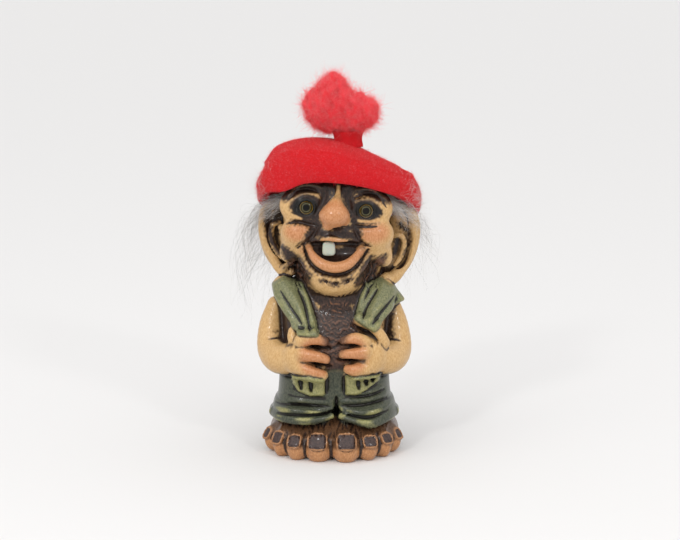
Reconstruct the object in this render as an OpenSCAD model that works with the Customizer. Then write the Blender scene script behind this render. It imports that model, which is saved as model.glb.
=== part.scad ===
/* [Body] */
// Height of the bald crown above the base
crown_h = 121; // [119:0.5:121]
// Width across the upper arms
arms_w = 61; // [59:0.5:63]
// Width across the feet
feet_w = 55; // [53:0.5:57]
// Depth from the big toes to the heels
feet_d = 47; // [45:0.5:49]
// Thickness of the moulded wall at its thinnest
wall_t = 4; // [3.5:0.5:5]
// Diameter of the pour hole in the underside
pour_d = 18; // [14:1:20]
// Thickness of the plug in the pour hole
plug_t = 5; // [4:0.5:6]

/* [Face] */
// Diameter of each glass eye
eye_d = 6; // [5.5:0.1:6.2]
// Distance between the eye centres
eye_gap = 23; // [22:0.5:24]
// Height of the middle between the eyes
eye_h = 99; // [98:0.5:100]
// How much lower the right eye sits than the left
eye_drop = 1.3; // [0:0.1:2]
// Diameter of the ball of the nose
nose_d = 12.6; // [11:0.2:14]
// Width of the single tooth
tooth_w = 5; // [4:0.2:5.6]
// Height of the tooth below the gum
tooth_h = 5.4; // [4.4:0.2:5.8]

/* [Hat] */
// Width across the turned-up cuff
hat_w = 66; // [64:0.5:68]
// Height of the top of the felt above the base
hat_top = 124.5; // [124:0.5:126]
// Thickness of the felt
felt_t = 2.6; // [2.2:0.1:3]
// How far the rim tips back
rim_tilt = 22; // [18:1:24]
// Height of the pompom tuft
pompom_h = 25; // [22:1:26]
// Width of the pompom tuft
pompom_w = 31; // [28:1:32]

/* [Hair] */
// Thickness of each lock of fur
lock_t = 8; // [6:0.5:9]
// Length of the side locks below the hat
lock_l = 50; // [44:1:54]
// Thickness of the hide band that carries the fur
strip_t = 1.4; // [1:0.1:1.6]

/* [Hidden] */

// Fineness of big, middling and small rounded shapes
big_fn = 24;
mid_fn = 14;
small_fn = 13;
// Fineness of turned and round shapes that stay true curves
round_fn = 96;
// Gap left round glued-in pieces
glue_gap = 0.1;
// Gap left between the hat and the head
lift_gap = 0.5;

// Left is -X and right is +X, seen from the front, and the front faces -Y
LEFT = -1;
RIGHT = 1;

// Feet: four toes on each foot, outwards from the big toe, as share of width,
// share of depth forward, and radius
toe_front = 26;
heel_back = feet_d - toe_front;
TOES = [[0.20, 0.79, 5.1], [0.51, 0.72, 4.4], [0.75, 0.52, 3.6], [0.88, 0.26, 3.2]];

// Heights up the body
hem_h = 14;
waist_h = 29;
elbow_h = 38;
shoulder_h = 57;
neck_h = 66;
arm_r = 6.4;
hand_h = 41;
finger_r = 2.6;

// Head
head_x = 1;
head_w = 42;
head_d = 41;
head_mid = 92;
face_y = -head_d / 2;
mouth_h = 83;
cheek_h = 90;

// Glass eye, from the front of the dome back along +Y
eye_front = face_y + 0.5;
glass_t = 1.6;
enamel_t = 0.5;
pupil_d = eye_d * 0.4;
wire_d = 0.7;
loop_r = 1.3;

// Hide band round the skull, under the hat
strip_lo = 103;
strip_h = 4;
fur_top = 100;
strip_rx = 18.2;
strip_ry = 18.6;

// Hat, as a turned shape that is a little flatter from front to back
hat_flat = 0.9;
hat_x = 2.2;
hat_y = 3;
hat_lean = 4;
cuff_t = 3;
bag_r = hat_w / 2 - cuff_t;
hat_bottom = 84;
rim_front = 108.5;
shoulder_r = 9;
cuff_h = hat_top - shoulder_r - hat_bottom + 2;
stem_d = 11;
stem_x = 5;
pompom_base = 126;
stem_top = 127;

// An egg with the given centre and half sizes
module egg(centre, half) {
  translate(centre)
    scale(half)
      sphere(r = 1);
}

// A tapered round-ended limb from one point to another
module limb(from, r_from, to, r_to) {
  hull() {
    translate(from)
      sphere(r = r_from);
    translate(to)
      sphere(r = r_to);
  }
}

// The instep mass that the two feet share, level underneath
module insteps() {
  hull()
    for (side = [LEFT, RIGHT]) {
      egg([side * 8, -8, 6], [9, 13, 9]);
      egg([side * 16, -2, 6], [10, 10, 9]);
      egg([side * 12, heel_back - 11, 6], [12, 11, 9]);
    }
}

// Four fat toes in an arc
module toes(side) {
  half_w = feet_w / 2;
  for (t = TOES)
    egg([side * half_w * t[0], -toe_front * t[1], t[2] * 0.95],
        [t[2], t[2] * 1.1, t[2]], $fn = mid_fn);
}

// Trousers, flared to the hem, with a groove between the legs
module trousers() {
  difference() {
    hull()
      for (side = [LEFT, RIGHT]) {
        egg([side * 14, 0, hem_h + 3], [13.5, 18.5, 4.5]);
        egg([side * 10, 0, waist_h], [11.5, 16, 4]);
      }
    for (y = [-22, 22])
      translate([head_x, y, hem_h - 4])
        scale([0.3, 1, 1])
          cylinder(h = 12, r1 = 8, r2 = 3);
  }
}

// Torso in its waistcoat
module torso() {
  hull() {
    egg([0, 0, waist_h], [20, 16.5, 6]);
    egg([0, -1, 48], [21, 17, 9]);
    egg([0, 0, shoulder_h], [21, 13, 7]);
  }
  hull() {
    egg([0, -1, shoulder_h], [14, 14, 6]);
    egg([head_x, -1, neck_h + 6], [12, 13, 8]);
  }
}

// One waistcoat panel, hanging open from the shoulder over the chest
module vest_panel(side) {
  hull() {
    egg([side * 17, -9, shoulder_h + 6], [7, 6, 3]);
    egg([side * 14, -16, shoulder_h - 3], [5, 3, 6]);
    egg([side * 10.5, -17.5, 47], [5, 3, 5]);
  }
}

// One bare arm, bent to lay its hand on the belly
module arm(side) {
  top = [side * (arms_w / 2 - arm_r - 1), 0, shoulder_h - 5];
  elbow = [side * (arms_w / 2 - arm_r), -4, elbow_h + 1];
  wrist = [side * 15, -17, hand_h - 2];
  limb(top, arm_r, elbow, arm_r);
  limb(elbow, arm_r - 0.4, wrist, arm_r - 1.4);
  hand(side);
}

// A hand of three fingers and a thumb
module hand(side) {
  egg([side * 12, -19, hand_h], [6.5, 4.5, 8], $fn = mid_fn);
  for (i = [-1, 0, 1])
    limb([side * 10, -21, hand_h + i * 5.6], finger_r,
         [side * 3.6, -22.5, hand_h + i * 5.4], finger_r * 0.85, $fn = small_fn);
  limb([side * 15, -18, hand_h + 7], finger_r, [side * 8, -20.5, hand_h + 11.5],
       finger_r * 0.8, $fn = small_fn);
}

// One big ear with a dished face, set on the side of the head
module ear(side) {
  translate([head_x + side * 22.5, 1, 82])
    rotate([0, side * 16, side * -24])
      difference() {
        egg([0, 0, 0], [7.6, 3.2, 12.5], $fn = mid_fn);
        egg([side * 0.5, -3.4, 1], [4.4, 2.6, 8.5], $fn = mid_fn);
      }
}

// Skull and jaw
module skull() {
  hull() {
    egg([head_x, 0, crown_h - 20], [head_w / 2 - 0.5, head_d / 2, 20]);
    egg([head_x, -1, cheek_h - 1], [head_w / 2, head_d / 2 - 1.5, 13]);
    egg([head_x, -3, 74], [12, 15, 9]);
  }
}

// The raised features of the face
module features() {
  egg([0.2, face_y - 3.5, eye_h - 1.5], [1, 1, 1] * nose_d / 2, $fn = mid_fn);
  limb([1.2, face_y - 1, eye_h + 3], 2.4, [0.4, face_y - 2, eye_h], 4, $fn = small_fn);
  for (side = [LEFT, RIGHT]) {
    egg([head_x - 0.5 + side * 14.2, face_y + 5.5, cheek_h], [6.4, 5.5, 5.5], $fn = mid_fn);
    egg([head_x + side * 11, face_y + 2.4, eye_h + 5.2], [7, 3, 2.2], $fn = mid_fn);
  }
  // Lower lip, in short lengths round an arc, and the chin below it
  for (a = [-60 : 30 : 30])
    limb([head_x + 10.5 * sin(a), face_y + 1.5 + abs(a) / 22, mouth_h + 3 - 9 * cos(a)], 2.2,
         [head_x + 10.5 * sin(a + 30), face_y + 1.5 + abs(a + 30) / 22,
          mouth_h + 3 - 9 * cos(a + 30)], 2.2, $fn = small_fn);
  egg([head_x, face_y + 4, 69.5], [8, 4.5, 4.5], $fn = mid_fn);
}

// Places of the two eyes: the middle of the back of each dome
function eye_at(side) = [head_x - 0.2 + side * eye_gap / 2, eye_front + glass_t,
                         eye_h - side * eye_drop / 2];

// The hollow of the sockets, for the glass eye and its wire loop
module eye_socket(side) {
  translate(eye_at(side))
    rotate([90, 0, 0]) {
      translate([0, 0, -enamel_t * 2])
        cylinder(h = 12, r = eye_d / 2 + glue_gap, $fn = big_fn);
      translate([0, 0, -8])
        cylinder(h = 8.1, r = loop_r + wire_d + 0.3, $fn = mid_fn);
    }
}

// The open mouth, a grin with a flat upper edge
module mouth() {
  difference() {
    egg([head_x, face_y + 1, mouth_h + 3.5], [9, 6.5, 7.5], $fn = mid_fn);
    translate([head_x - 15, face_y - 10, mouth_h + 3.5])
      cube([30, 20, 12]);
  }
}

// The place of the tooth, at the middle of its gum line
tooth_at = [head_x - 2.8, face_y + 2.6, mouth_h + 3.3];
peg_d = 2;
peg_l = 3;

// The inside of the hollow casting and its pour hole
module hollow() {
  hull() {
    egg([0, 0, 20], [19 - wall_t, 17 - wall_t, 10], $fn = mid_fn);
    egg([0, 0, shoulder_h - 3], [18 - wall_t, 13 - wall_t, 8], $fn = mid_fn);
  }
  hull() {
    egg([0, 0, shoulder_h - 3], [14 - wall_t, 12 - wall_t, 8], $fn = mid_fn);
    egg([head_x, 1, crown_h - 24], [15 - wall_t, 14 - wall_t, 16], $fn = mid_fn);
  }
  translate([0, 0, -1])
    cylinder(h = 20, d = pour_d + 2 * glue_gap, $fn = big_fn);
}

module body_casting() {
  color("#B98F62")
    difference() {
      union() {
        for (side = [LEFT, RIGHT]) {
          toes(side);
          vest_panel(side, $fn = mid_fn);
          arm(side, $fn = mid_fn);
          ear(side);
        }
        insteps($fn = big_fn);
        trousers($fn = big_fn);
        torso($fn = big_fn);
        skull($fn = big_fn);
        features();
      }
      hollow();
      mouth();
      eye_socket(LEFT);
      eye_socket(RIGHT);
      translate(tooth_at)
        cylinder(h = peg_l + 0.2, d = peg_d + 2 * glue_gap, $fn = mid_fn);
      // Seat for the hide band, and a level underside
      strip_seat();
      translate([-50, -50, -20])
        cube([100, 100, 20]);
    }
}

module base_plug() {
  color("#A98A63")
    cylinder(h = plug_t, d = pour_d);
}

// Clear dome, with a flat back that carries the enamel
module eye_glass(side) {
  color("#5A4520", 0.6)
    translate(eye_at(side))
      rotate([90, 0, 0])
        intersection() {
          cylinder(h = glass_t, d = eye_d, $fn = round_fn);
          translate([0, 0, glass_t - eye_d * 0.72])
            sphere(r = eye_d * 0.72, $fn = round_fn);
        }
}

// Amber ring with the pupil's hole
module eye_iris(side) {
  color("#7A5A1E")
    translate(eye_at(side))
      rotate([-90, 0, 0])
        difference() {
          cylinder(h = enamel_t, d = eye_d);
          translate([0, 0, -1])
            cylinder(h = enamel_t + 2, d = pupil_d);
        }
}

// Black spot that fills the ring's hole
module eye_pupil(side) {
  color("#101010")
    translate(eye_at(side))
      rotate([-90, 0, 0])
        cylinder(h = enamel_t, d = pupil_d);
}

// Wire shank: a ring that stands behind the enamel
module eye_loop(side) {
  color("#8A8D90")
    translate(eye_at(side) + [0, enamel_t + loop_r + wire_d / 2, 0])
      rotate([90, 0, 90])
        rotate_extrude()
          translate([loop_r, 0])
            circle(d = wire_d, $fn = mid_fn);
}

module left_eye_glass() { eye_glass(LEFT); }
module right_eye_glass() { eye_glass(RIGHT); }
module left_eye_iris() { eye_iris(LEFT); }
module right_eye_iris() { eye_iris(RIGHT); }
module left_eye_pupil() { eye_pupil(LEFT); }
module right_eye_pupil() { eye_pupil(RIGHT); }
module left_eye_loop() { eye_loop(LEFT); }
module right_eye_loop() { eye_loop(RIGHT); }

// One tooth: a square block with rounded corners, on a round peg
module tooth() {
  corner = 1.2;
  color("#C9CCB4")
    translate(tooth_at) {
      hull()
        for (x = [-1, 1], z = [0, 1])
          translate([x * (tooth_w / 2 - corner), 0, -corner - z * (tooth_h - 2 * corner)])
            sphere(r = corner, $fn = mid_fn);
      translate([0, 0, -corner])
        cylinder(h = peg_l + corner, d = peg_d);
    }
}

// Elliptical ring round the skull from the hairline up
module skull_ring(grow, z_lo, z_hi) {
  translate([head_x, 0, z_lo])
    linear_extrude(z_hi - z_lo)
      difference() {
        scale([strip_rx + grow, strip_ry + grow])
          circle(r = 1);
        scale([strip_rx, strip_ry])
          circle(r = 1);
      }
}

module strip_seat() {
  skull_ring(20, strip_lo - 0.1, strip_lo + strip_h + 0.1, $fn = 48);
}

// Hide band, open over the forehead
module fur_strip() {
  color("#8C8880")
    difference() {
      skull_ring(strip_t, strip_lo, strip_lo + strip_h, $fn = round_fn);
      translate([head_x - 14, -30, strip_lo - 1])
        cube([28, 22, strip_h + 2]);
    }
}

// A side lock's root inside the hat, its turn under the rim, and its widest place
module lock_root(side) {
  egg([head_x + side * 20.5, 11, fur_top - 2], [2, 3.5, 4]);
}

module lock_knee(side) {
  egg([head_x + side * 21.5, 11, fur_top - 15], [2.2, lock_t / 2 - 0.6, 3]);
}

module lock_belly(side) {
  egg([head_x + side * 32, 13.5, fur_top - 24], [4.5, lock_t / 2, 6.5]);
}

// A lock of fur at one side, hanging behind the ear
module side_hair(side) {
  color("#77736E")
    union() {
      hull() {
        lock_root(side);
        lock_knee(side);
      }
      hull() {
        lock_knee(side);
        lock_belly(side);
      }
      hull() {
        lock_belly(side);
        egg([head_x + side * 33, 14, fur_top - lock_l + 6], [3, lock_t / 2 - 1, 6]);
      }
    }
}

module left_side_hair() { side_hair(LEFT, $fn = mid_fn); }
module right_side_hair() { side_hair(RIGHT, $fn = mid_fn); }

// Where the fur at the back turns out from under the rim
module nape_knee() {
  egg([head_x, 23.4, fur_top - 20], [14, 2, 4], $fn = mid_fn);
}

// The fur down the back of the head
module nape_hair() {
  color("#6E6A66")
    union() {
      hull() {
        egg([head_x, 22.6, fur_top - 4], [11, 1.6, 4], $fn = mid_fn);
        nape_knee();
      }
      hull() {
        nape_knee();
        egg([head_x, 26.5, fur_top - 30], [16, lock_t / 2, 7], $fn = mid_fn);
        egg([head_x, 25, fur_top - lock_l + 8], [12, lock_t / 2 - 1, 6], $fn = mid_fn);
      }
    }
}

// Half outline of the hat's bag, from the axis out to radius r and down to the bottom
module bag_outline(r, top) {
  difference() {
    union() {
      translate([0, hat_bottom])
        square([r, top - shoulder_r - hat_bottom]);
      translate([0, top - shoulder_r - 0.01])
        square([r - shoulder_r, shoulder_r + 0.01]);
      translate([r - shoulder_r, top - shoulder_r])
        circle(r = shoulder_r, $fn = round_fn);
    }
    translate([-shoulder_r * 4, 0])
      square([shoulder_r * 4, hat_top * 2]);
  }
}

// Puts a turned hat shape on the head, and cuts its rim with a plane that tips back
module hat_place() {
  translate([hat_x, hat_y, hat_top])
    rotate([0, hat_lean, 0])
      scale([1, hat_flat, 1])
        translate([0, 0, -hat_top])
          difference() {
            children();
            translate([0, -hat_w / 2, rim_front])
              rotate([-rim_tilt, 0, 0])
                translate([-60, -20, -60])
                  cube([120, 120, 60]);
          }
}

// The felt bag, open below
module hat_crown() {
  color("#D91F2B")
    hat_place()
      rotate_extrude($fn = round_fn)
        difference() {
          bag_outline(bag_r, hat_top);
          translate([0, -felt_t])
            bag_outline(bag_r - felt_t, hat_top);
        }
}

// The turned-up cuff, with a rounded upper edge
module hat_band() {
  color("#C81A25")
    hat_place()
      rotate_extrude($fn = round_fn)
        translate([bag_r, hat_bottom]) {
          square([cuff_t, cuff_h - cuff_t / 2]);
          translate([cuff_t / 2, cuff_h - cuff_t / 2])
            circle(d = cuff_t, $fn = round_fn);
        }
}

// The felt neck that gathers the tuft
module hat_stem() {
  color("#C81A25")
    translate([stem_x, hat_y, hat_top - 0.3])
      cylinder(h = stem_top - hat_top + 0.3, d1 = stem_d, d2 = stem_d - 1, $fn = round_fn);
}

// The wool tuft, two lobes that run up to a peak
module hat_pompom() {
  half = pompom_w / 2;
  color("#EE4250")
    hull() {
      egg([stem_x - 2.3, hat_y, pompom_base + 6], [half * 0.8, 9, 6], $fn = big_fn);
      egg([stem_x - half * 0.55, hat_y, pompom_base + 10], [half * 0.5, 9, 8], $fn = big_fn);
      egg([stem_x + half * 0.45, hat_y, pompom_base + 8], [half * 0.5, 8, 6], $fn = big_fn);
      egg([stem_x - 3, hat_y, pompom_base + pompom_h - 4], [5, 5, 4], $fn = big_fn);
    }
}

body_casting();
base_plug();
left_eye_glass();
right_eye_glass();
left_eye_iris();
right_eye_iris();
left_eye_pupil();
right_eye_pupil();
left_eye_loop();
right_eye_loop();
tooth();
fur_strip();
left_side_hair();
right_side_hair();
nape_hair();
hat_crown();
hat_band();
hat_stem();
hat_pompom();
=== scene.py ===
import math
import bpy
import numpy as np
from mathutils import Euler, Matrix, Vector


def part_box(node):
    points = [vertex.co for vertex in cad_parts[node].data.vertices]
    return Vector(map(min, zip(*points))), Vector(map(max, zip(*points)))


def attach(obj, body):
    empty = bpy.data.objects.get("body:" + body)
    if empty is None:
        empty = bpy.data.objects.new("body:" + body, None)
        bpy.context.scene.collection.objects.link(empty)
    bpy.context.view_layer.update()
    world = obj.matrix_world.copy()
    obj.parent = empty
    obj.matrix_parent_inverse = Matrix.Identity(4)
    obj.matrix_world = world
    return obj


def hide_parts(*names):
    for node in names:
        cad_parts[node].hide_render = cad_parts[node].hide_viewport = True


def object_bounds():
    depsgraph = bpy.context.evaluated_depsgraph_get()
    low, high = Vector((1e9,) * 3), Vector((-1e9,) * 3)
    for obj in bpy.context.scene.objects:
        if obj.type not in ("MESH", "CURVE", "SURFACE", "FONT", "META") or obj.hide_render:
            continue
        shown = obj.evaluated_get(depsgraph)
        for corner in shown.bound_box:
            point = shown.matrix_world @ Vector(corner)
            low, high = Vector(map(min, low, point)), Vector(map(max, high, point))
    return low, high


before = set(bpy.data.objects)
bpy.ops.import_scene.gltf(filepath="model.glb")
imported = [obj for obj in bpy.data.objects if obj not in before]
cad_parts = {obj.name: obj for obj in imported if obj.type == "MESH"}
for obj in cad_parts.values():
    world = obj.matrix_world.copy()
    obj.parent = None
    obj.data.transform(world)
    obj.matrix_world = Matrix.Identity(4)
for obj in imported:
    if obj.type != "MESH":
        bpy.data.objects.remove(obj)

MM = 0.001
cad_low, cad_high = [list(corner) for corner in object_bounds()]


# ---------------------------------------------------------------------------
# Camera: a long lens straight in front of the figure and a little above it, which
# looks slightly down at the figure's middle height.
# ---------------------------------------------------------------------------
aim = Vector(((cad_low[0] + cad_high[0]) / 2 + 0.0013, 0, 0.0723))
camera_range = 0.75
camera_rise = math.radians(9.5)
camera_data = bpy.data.cameras.new("camera")
camera_data.lens = 100.1
camera_data.sensor_width = 36
camera = bpy.data.objects.new("camera", camera_data)
camera.location = aim + camera_range * Vector((0, -math.cos(camera_rise), math.sin(camera_rise)))
camera.rotation_euler = (math.pi / 2 - camera_rise, 0, 0)
bpy.context.collection.objects.link(camera)
bpy.context.scene.camera = camera


# ---------------------------------------------------------------------------
# Stage: a wide pale floor under even daylight and two small lamps that only give
# the lacquer its highlights. Not part of the object.
# ---------------------------------------------------------------------------
def linear(code, alpha=1.0):
    """An sRGB hex colour as linear RGBA."""
    parts = [int(code[i:i + 2], 16) / 255 for i in (1, 3, 5)]
    return tuple(c / 12.92 if c <= 0.04045 else ((c + 0.055) / 1.055) ** 2.4 for c in parts) + (alpha,)


def new_material(name):
    """A fresh node material and its main shader."""
    material = bpy.data.materials.new(name)
    material.use_nodes = True
    return material, material.node_tree.nodes["Principled BSDF"]


def set_shader(shader, **values):
    """Set the shader's own sockets by name, with _ for a space."""
    for name, value in values.items():
        shader.inputs[name.replace("_", " ")].default_value = value


def node(material, kind, values=None, links=None, **settings):
    """Add one node, set its properties and socket values, and link its inputs."""
    made = material.node_tree.nodes.new("ShaderNode" + kind)
    for name, value in settings.items():
        setattr(made, name, value)
    for key, value in (values or {}).items():
        made.inputs[key].default_value = value
    for key, source in (links or {}).items():
        material.node_tree.links.new(source, made.inputs[key])
    return made


def stops(ramp_node, *points):
    """Set a colour ramp's stops from (place, colour) pairs."""
    ramp = ramp_node.color_ramp
    while len(ramp.elements) > 1:
        ramp.elements.remove(ramp.elements[0])
    ramp.elements[0].position, ramp.elements[0].color = points[0]
    for place, colour in points[1:]:
        ramp.elements.new(place).color = colour


def mesh_object(name, points, faces, smooth=True):
    """A mesh object from points in metres."""
    mesh = bpy.data.meshes.new(name)
    mesh.from_pydata(points, [], faces)
    mesh.update()
    if smooth:
        mesh.shade_smooth()
    made = bpy.data.objects.new(name, mesh)
    bpy.context.collection.objects.link(made)
    return made


floor_reach = 14.0
sides = 96
turn = np.linspace(0, 2 * math.pi, sides, endpoint=False)
floor_points = [(0, 0, 0)] + [(r * math.cos(a), r * math.sin(a), 0) for r in (0.5, 2.5, floor_reach)
                              for a in turn]
floor_faces = [(0, 1 + i, 1 + (i + 1) % sides) for i in range(sides)]
for near in (1, 1 + sides):
    far = near + sides
    floor_faces += [(near + i, far + i, far + (i + 1) % sides, near + (i + 1) % sides)
                    for i in range(sides)]
floor = mesh_object("pale_floor", floor_points, floor_faces)
paper, shader = new_material("matt_white_paper")
set_shader(shader, Base_Color=linear("#DFDEDD"), Roughness=0.9, Specular_IOR_Level=0.2)
paper_grain = node(paper, "TexNoise", {"Scale": 900.0, "Detail": 2.0})
paper_bump = node(paper, "Bump", {"Strength": 0.02, "Distance": 0.0002},
                  {"Height": paper_grain.outputs["Fac"]})
paper.node_tree.links.new(paper_bump.outputs[0], shader.inputs["Normal"])
floor.data.materials.append(paper)

# (name, way it comes from, strength, spread in degrees, colour)
DAYLIGHT = [("sky_front", (-0.35, -0.75, 0.9), 0.85, 70, "#FFFEFC"),
            ("sky_top", (0.3, -0.1, 1.0), 0.55, 90, "#FFFFFF")]
for lamp_name, way, strength, spread_of, tone in DAYLIGHT:
    lamp_data = bpy.data.lights.new(lamp_name, "SUN")
    lamp_data.energy = strength
    lamp_data.angle = math.radians(spread_of)
    lamp_data.color = linear(tone)[:3]
    lamp = bpy.data.objects.new(lamp_name, lamp_data)
    lamp.rotation_euler = (-Vector(way)).to_track_quat("-Z", "Y").to_euler()
    bpy.context.collection.objects.link(lamp)
# (name, place, size, watts)
LAMPS = [("gleam_left", (-0.42, -0.80, 0.62), 0.11, 2.0),
         ("gleam_right", (0.50, -0.78, 0.55), 0.11, 1.5)]
for lamp_name, place, size, watts in LAMPS:
    lamp_data = bpy.data.lights.new(lamp_name, "AREA")
    lamp_data.shape = "SQUARE"
    lamp_data.size = size
    lamp_data.energy = watts
    lamp = bpy.data.objects.new(lamp_name, lamp_data)
    lamp.location = place
    lamp.rotation_euler = (aim - Vector(place)).to_track_quat("-Z", "Y").to_euler()
    bpy.context.collection.objects.link(lamp)
world = bpy.data.worlds.new("soft_room")
world.use_nodes = True
world.node_tree.nodes["Background"].inputs["Color"].default_value = linear("#F7F7F8")
world.node_tree.nodes["Background"].inputs["Strength"].default_value = 0.82
bpy.context.scene.world = world
bpy.context.scene.view_settings.view_transform = "Standard"


# ---------------------------------------------------------------------------
# Body casting: head, ears, waistcoat, arms, hands, trousers and feet in one hollow
# moulding of filled latex composition. It is sculpted on a fine grid of distances,
# in millimetres, and then skinned with a mesh. Left is -X, the front -Y.
# ---------------------------------------------------------------------------
GRID = 0.5
cast_low, cast_high = [np.array(corner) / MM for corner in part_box("body_casting")]
clay_low = np.floor(cast_low - 4)
clay_shape = ((np.ceil(cast_high + 4) - clay_low) / GRID).astype(int) + 1
clay = np.full(clay_shape, 9.0, np.float32)
cloth = {part: np.zeros(clay_shape, np.float32) for part in ("vest", "trousers", "feet")}
LEFT, RIGHT = -1, 1
crown_top = cast_high[2]
head_x = 1.0


def curve(points, steps=5):
    """A smooth run through given points: Catmull-Rom, with the ends held."""
    p = np.array(points, float)
    p = np.vstack([2 * p[0] - p[1], p, 2 * p[-1] - p[-2]])
    t = np.linspace(0, 1, steps, endpoint=False)[:, None]
    runs = [0.5 * (2 * b + (c - a) * t + (2 * a - 5 * b + 4 * c - d) * t ** 2
                   + (3 * b - a - 3 * c + d) * t ** 3)
            for a, b, c, d in zip(p, p[1:], p[2:], p[3:])]
    return np.vstack(runs + [p[-2:-1]])


def window(low, high):
    """The grid's slices and coordinates inside a box."""
    first = np.clip(np.floor((low - clay_low) / GRID).astype(int), 0, clay_shape - 1)
    last = np.clip(np.ceil((high - clay_low) / GRID).astype(int) + 1, 1, clay_shape)
    axes = [(clay_low[k] + GRID * np.arange(first[k], last[k])).astype(np.float32) for k in range(3)]
    part = tuple(slice(a, b) for a, b in zip(first, last))
    return part, axes[0][:, None, None], axes[1][None, :, None], axes[2][None, None, :]


def egg(at, half, turn=(0, 0, 0)):
    """An egg with its centre and half sizes, turned by degrees about X, Y and Z."""
    at, half = np.array(at, float), np.array(half, float)
    frame_of = np.array(Euler([math.radians(a) for a in turn]).to_matrix())
    reach = half.max() if any(turn) else half

    def dist(x, y, z):
        p = [x - at[0], y - at[1], z - at[2]]
        q = [sum(frame_of[k][j] * p[k] for k in range(3)) / half[j] for j in range(3)]
        outer = np.sqrt(q[0] ** 2 + q[1] ** 2 + q[2] ** 2)
        inner = np.sqrt((q[0] / half[0]) ** 2 + (q[1] / half[1]) ** 2 + (q[2] / half[2]) ** 2)
        return outer * (outer - 1) / np.maximum(inner, 1e-5)
    return at - reach, at + reach, dist


def rope(points, radii):
    """A smooth rope of clay rolled along points, with a radius at each."""
    radii = np.broadcast_to(np.array(radii, float), len(points))
    run = curve(np.column_stack([points, radii]), 4)

    def dist(x, y, z):
        best = None
        for a, b in zip(run, run[1:]):
            step = b[:3] - a[:3]
            along = (x - a[0]) * step[0] + (y - a[1]) * step[1] + (z - a[2]) * step[2]
            t = np.clip(along / max(step @ step, 1e-9), 0, 1)
            d = np.sqrt((x - a[0] - t * step[0]) ** 2 + (y - a[1] - t * step[1]) ** 2
                        + (z - a[2] - t * step[2]) ** 2) - (a[3] + t * (b[3] - a[3]))
            best = d if best is None else np.minimum(best, d)
        return best
    grow = run[:, 3].max()
    return run[:, :3].min(0) - grow, run[:, :3].max(0) + grow, dist


def stack(levels, power=2.2):
    """A form through level outlines, each a height, a middle X and Y, and half sizes X and Y."""
    rows = curve(sorted(levels), 6)
    height, middle, half = rows[:, 0], rows[:, 1:3], rows[:, 3:5]

    def dist(x, y, z):
        cx, cy, rx, ry = [np.interp(z, height, column) for column in (*middle.T, *half.T)]
        reach = (np.abs((x - cx) / rx) ** power + np.abs((y - cy) / ry) ** power) ** (1 / power)
        return np.maximum((reach - 1) * np.minimum(rx, ry), np.maximum(height[0] - z, z - height[-1]))
    low = np.array([*(middle - half).min(0), height[0]])
    return low, np.array([*(middle + half).max(0), height[-1]]), dist


def slab(at, half, turn=(0, 0, 0), corner=0.5):
    """A block with rounded edges."""
    at, half = np.array(at, float), np.array(half, float)
    frame_of = np.array(Euler([math.radians(a) for a in turn]).to_matrix())

    def dist(x, y, z):
        p = [x - at[0], y - at[1], z - at[2]]
        q = [np.abs(sum(frame_of[k][j] * p[k] for k in range(3))) - half[j] + corner for j in range(3)]
        outside = np.sqrt(sum(np.maximum(c, 0) ** 2 for c in q))
        return outside + np.minimum(np.maximum(np.maximum(q[0], q[1]), q[2]), 0) - corner
    reach = np.linalg.norm(half)
    return at - reach, at + reach, dist


def press(shape, soft=2.0, part=None):
    """Press a lump on, blended over soft millimetres, and say whose surface it is."""
    low, high, dist = shape
    here, x, y, z = window(low - soft - 2, high + soft + 2)
    new, old = dist(x, y, z).astype(np.float32), clay[here]
    share = np.clip(0.5 + (old - new) / 1.2, 0, 1)
    for name, owned in cloth.items():
        owned[here] = owned[here] * (1 - share) + (share if name == part else 0)
    blend = np.maximum(soft - np.abs(old - new), 0) / soft
    clay[here] = np.minimum(old, new) - blend * blend * soft / 4


def carve(shape, soft=0.8):
    """Cut a hollow, with its edge rounded over soft millimetres."""
    low, high, dist = shape
    here, x, y, z = window(low - soft - 2, high + soft + 2)
    new, old = -dist(x, y, z).astype(np.float32), clay[here]
    blend = np.maximum(soft - np.abs(old - new), 0) / soft
    clay[here] = np.maximum(old, new) + blend * blend * soft / 4


def draw(points, width, rise, front=0.0, behind=False):
    """Raise (or with a minus sign, score) a line drawn on the front as X and Z, or on the back."""
    run = curve(points, 5)
    low = np.array([run[:, 0].min() - 3 * width, clay_low[1], run[:, 1].min() - 3 * width])
    high = np.array([run[:, 0].max() + 3 * width, 60, run[:, 1].max() + 3 * width])
    here, x, y, z = window(low, high)
    near, along = np.full(np.broadcast(x, z).shape, 1e9), np.zeros(np.broadcast(x, z).shape)
    for i, (a, b) in enumerate(zip(run, run[1:])):
        step = b - a
        t = np.clip(((x - a[0]) * step[0] + (z - a[1]) * step[1]) / max(step @ step, 1e-9), 0, 1)
        d = (x - a[0] - t * step[0]) ** 2 + (z - a[1] - t * step[1]) ** 2
        along = np.where(d < near, (i + t) / (len(run) - 1), along)
        near = np.minimum(near, d)
    side = (y - front) if behind else (front - y)
    taper = 0.35 + 0.65 * np.sqrt(np.sin(math.pi * np.clip(along, 0.02, 0.98)))
    clay[here] -= rise * taper * np.exp(-near / (width * taper) ** 2) * np.clip(side / 2, 0, 1)


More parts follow.
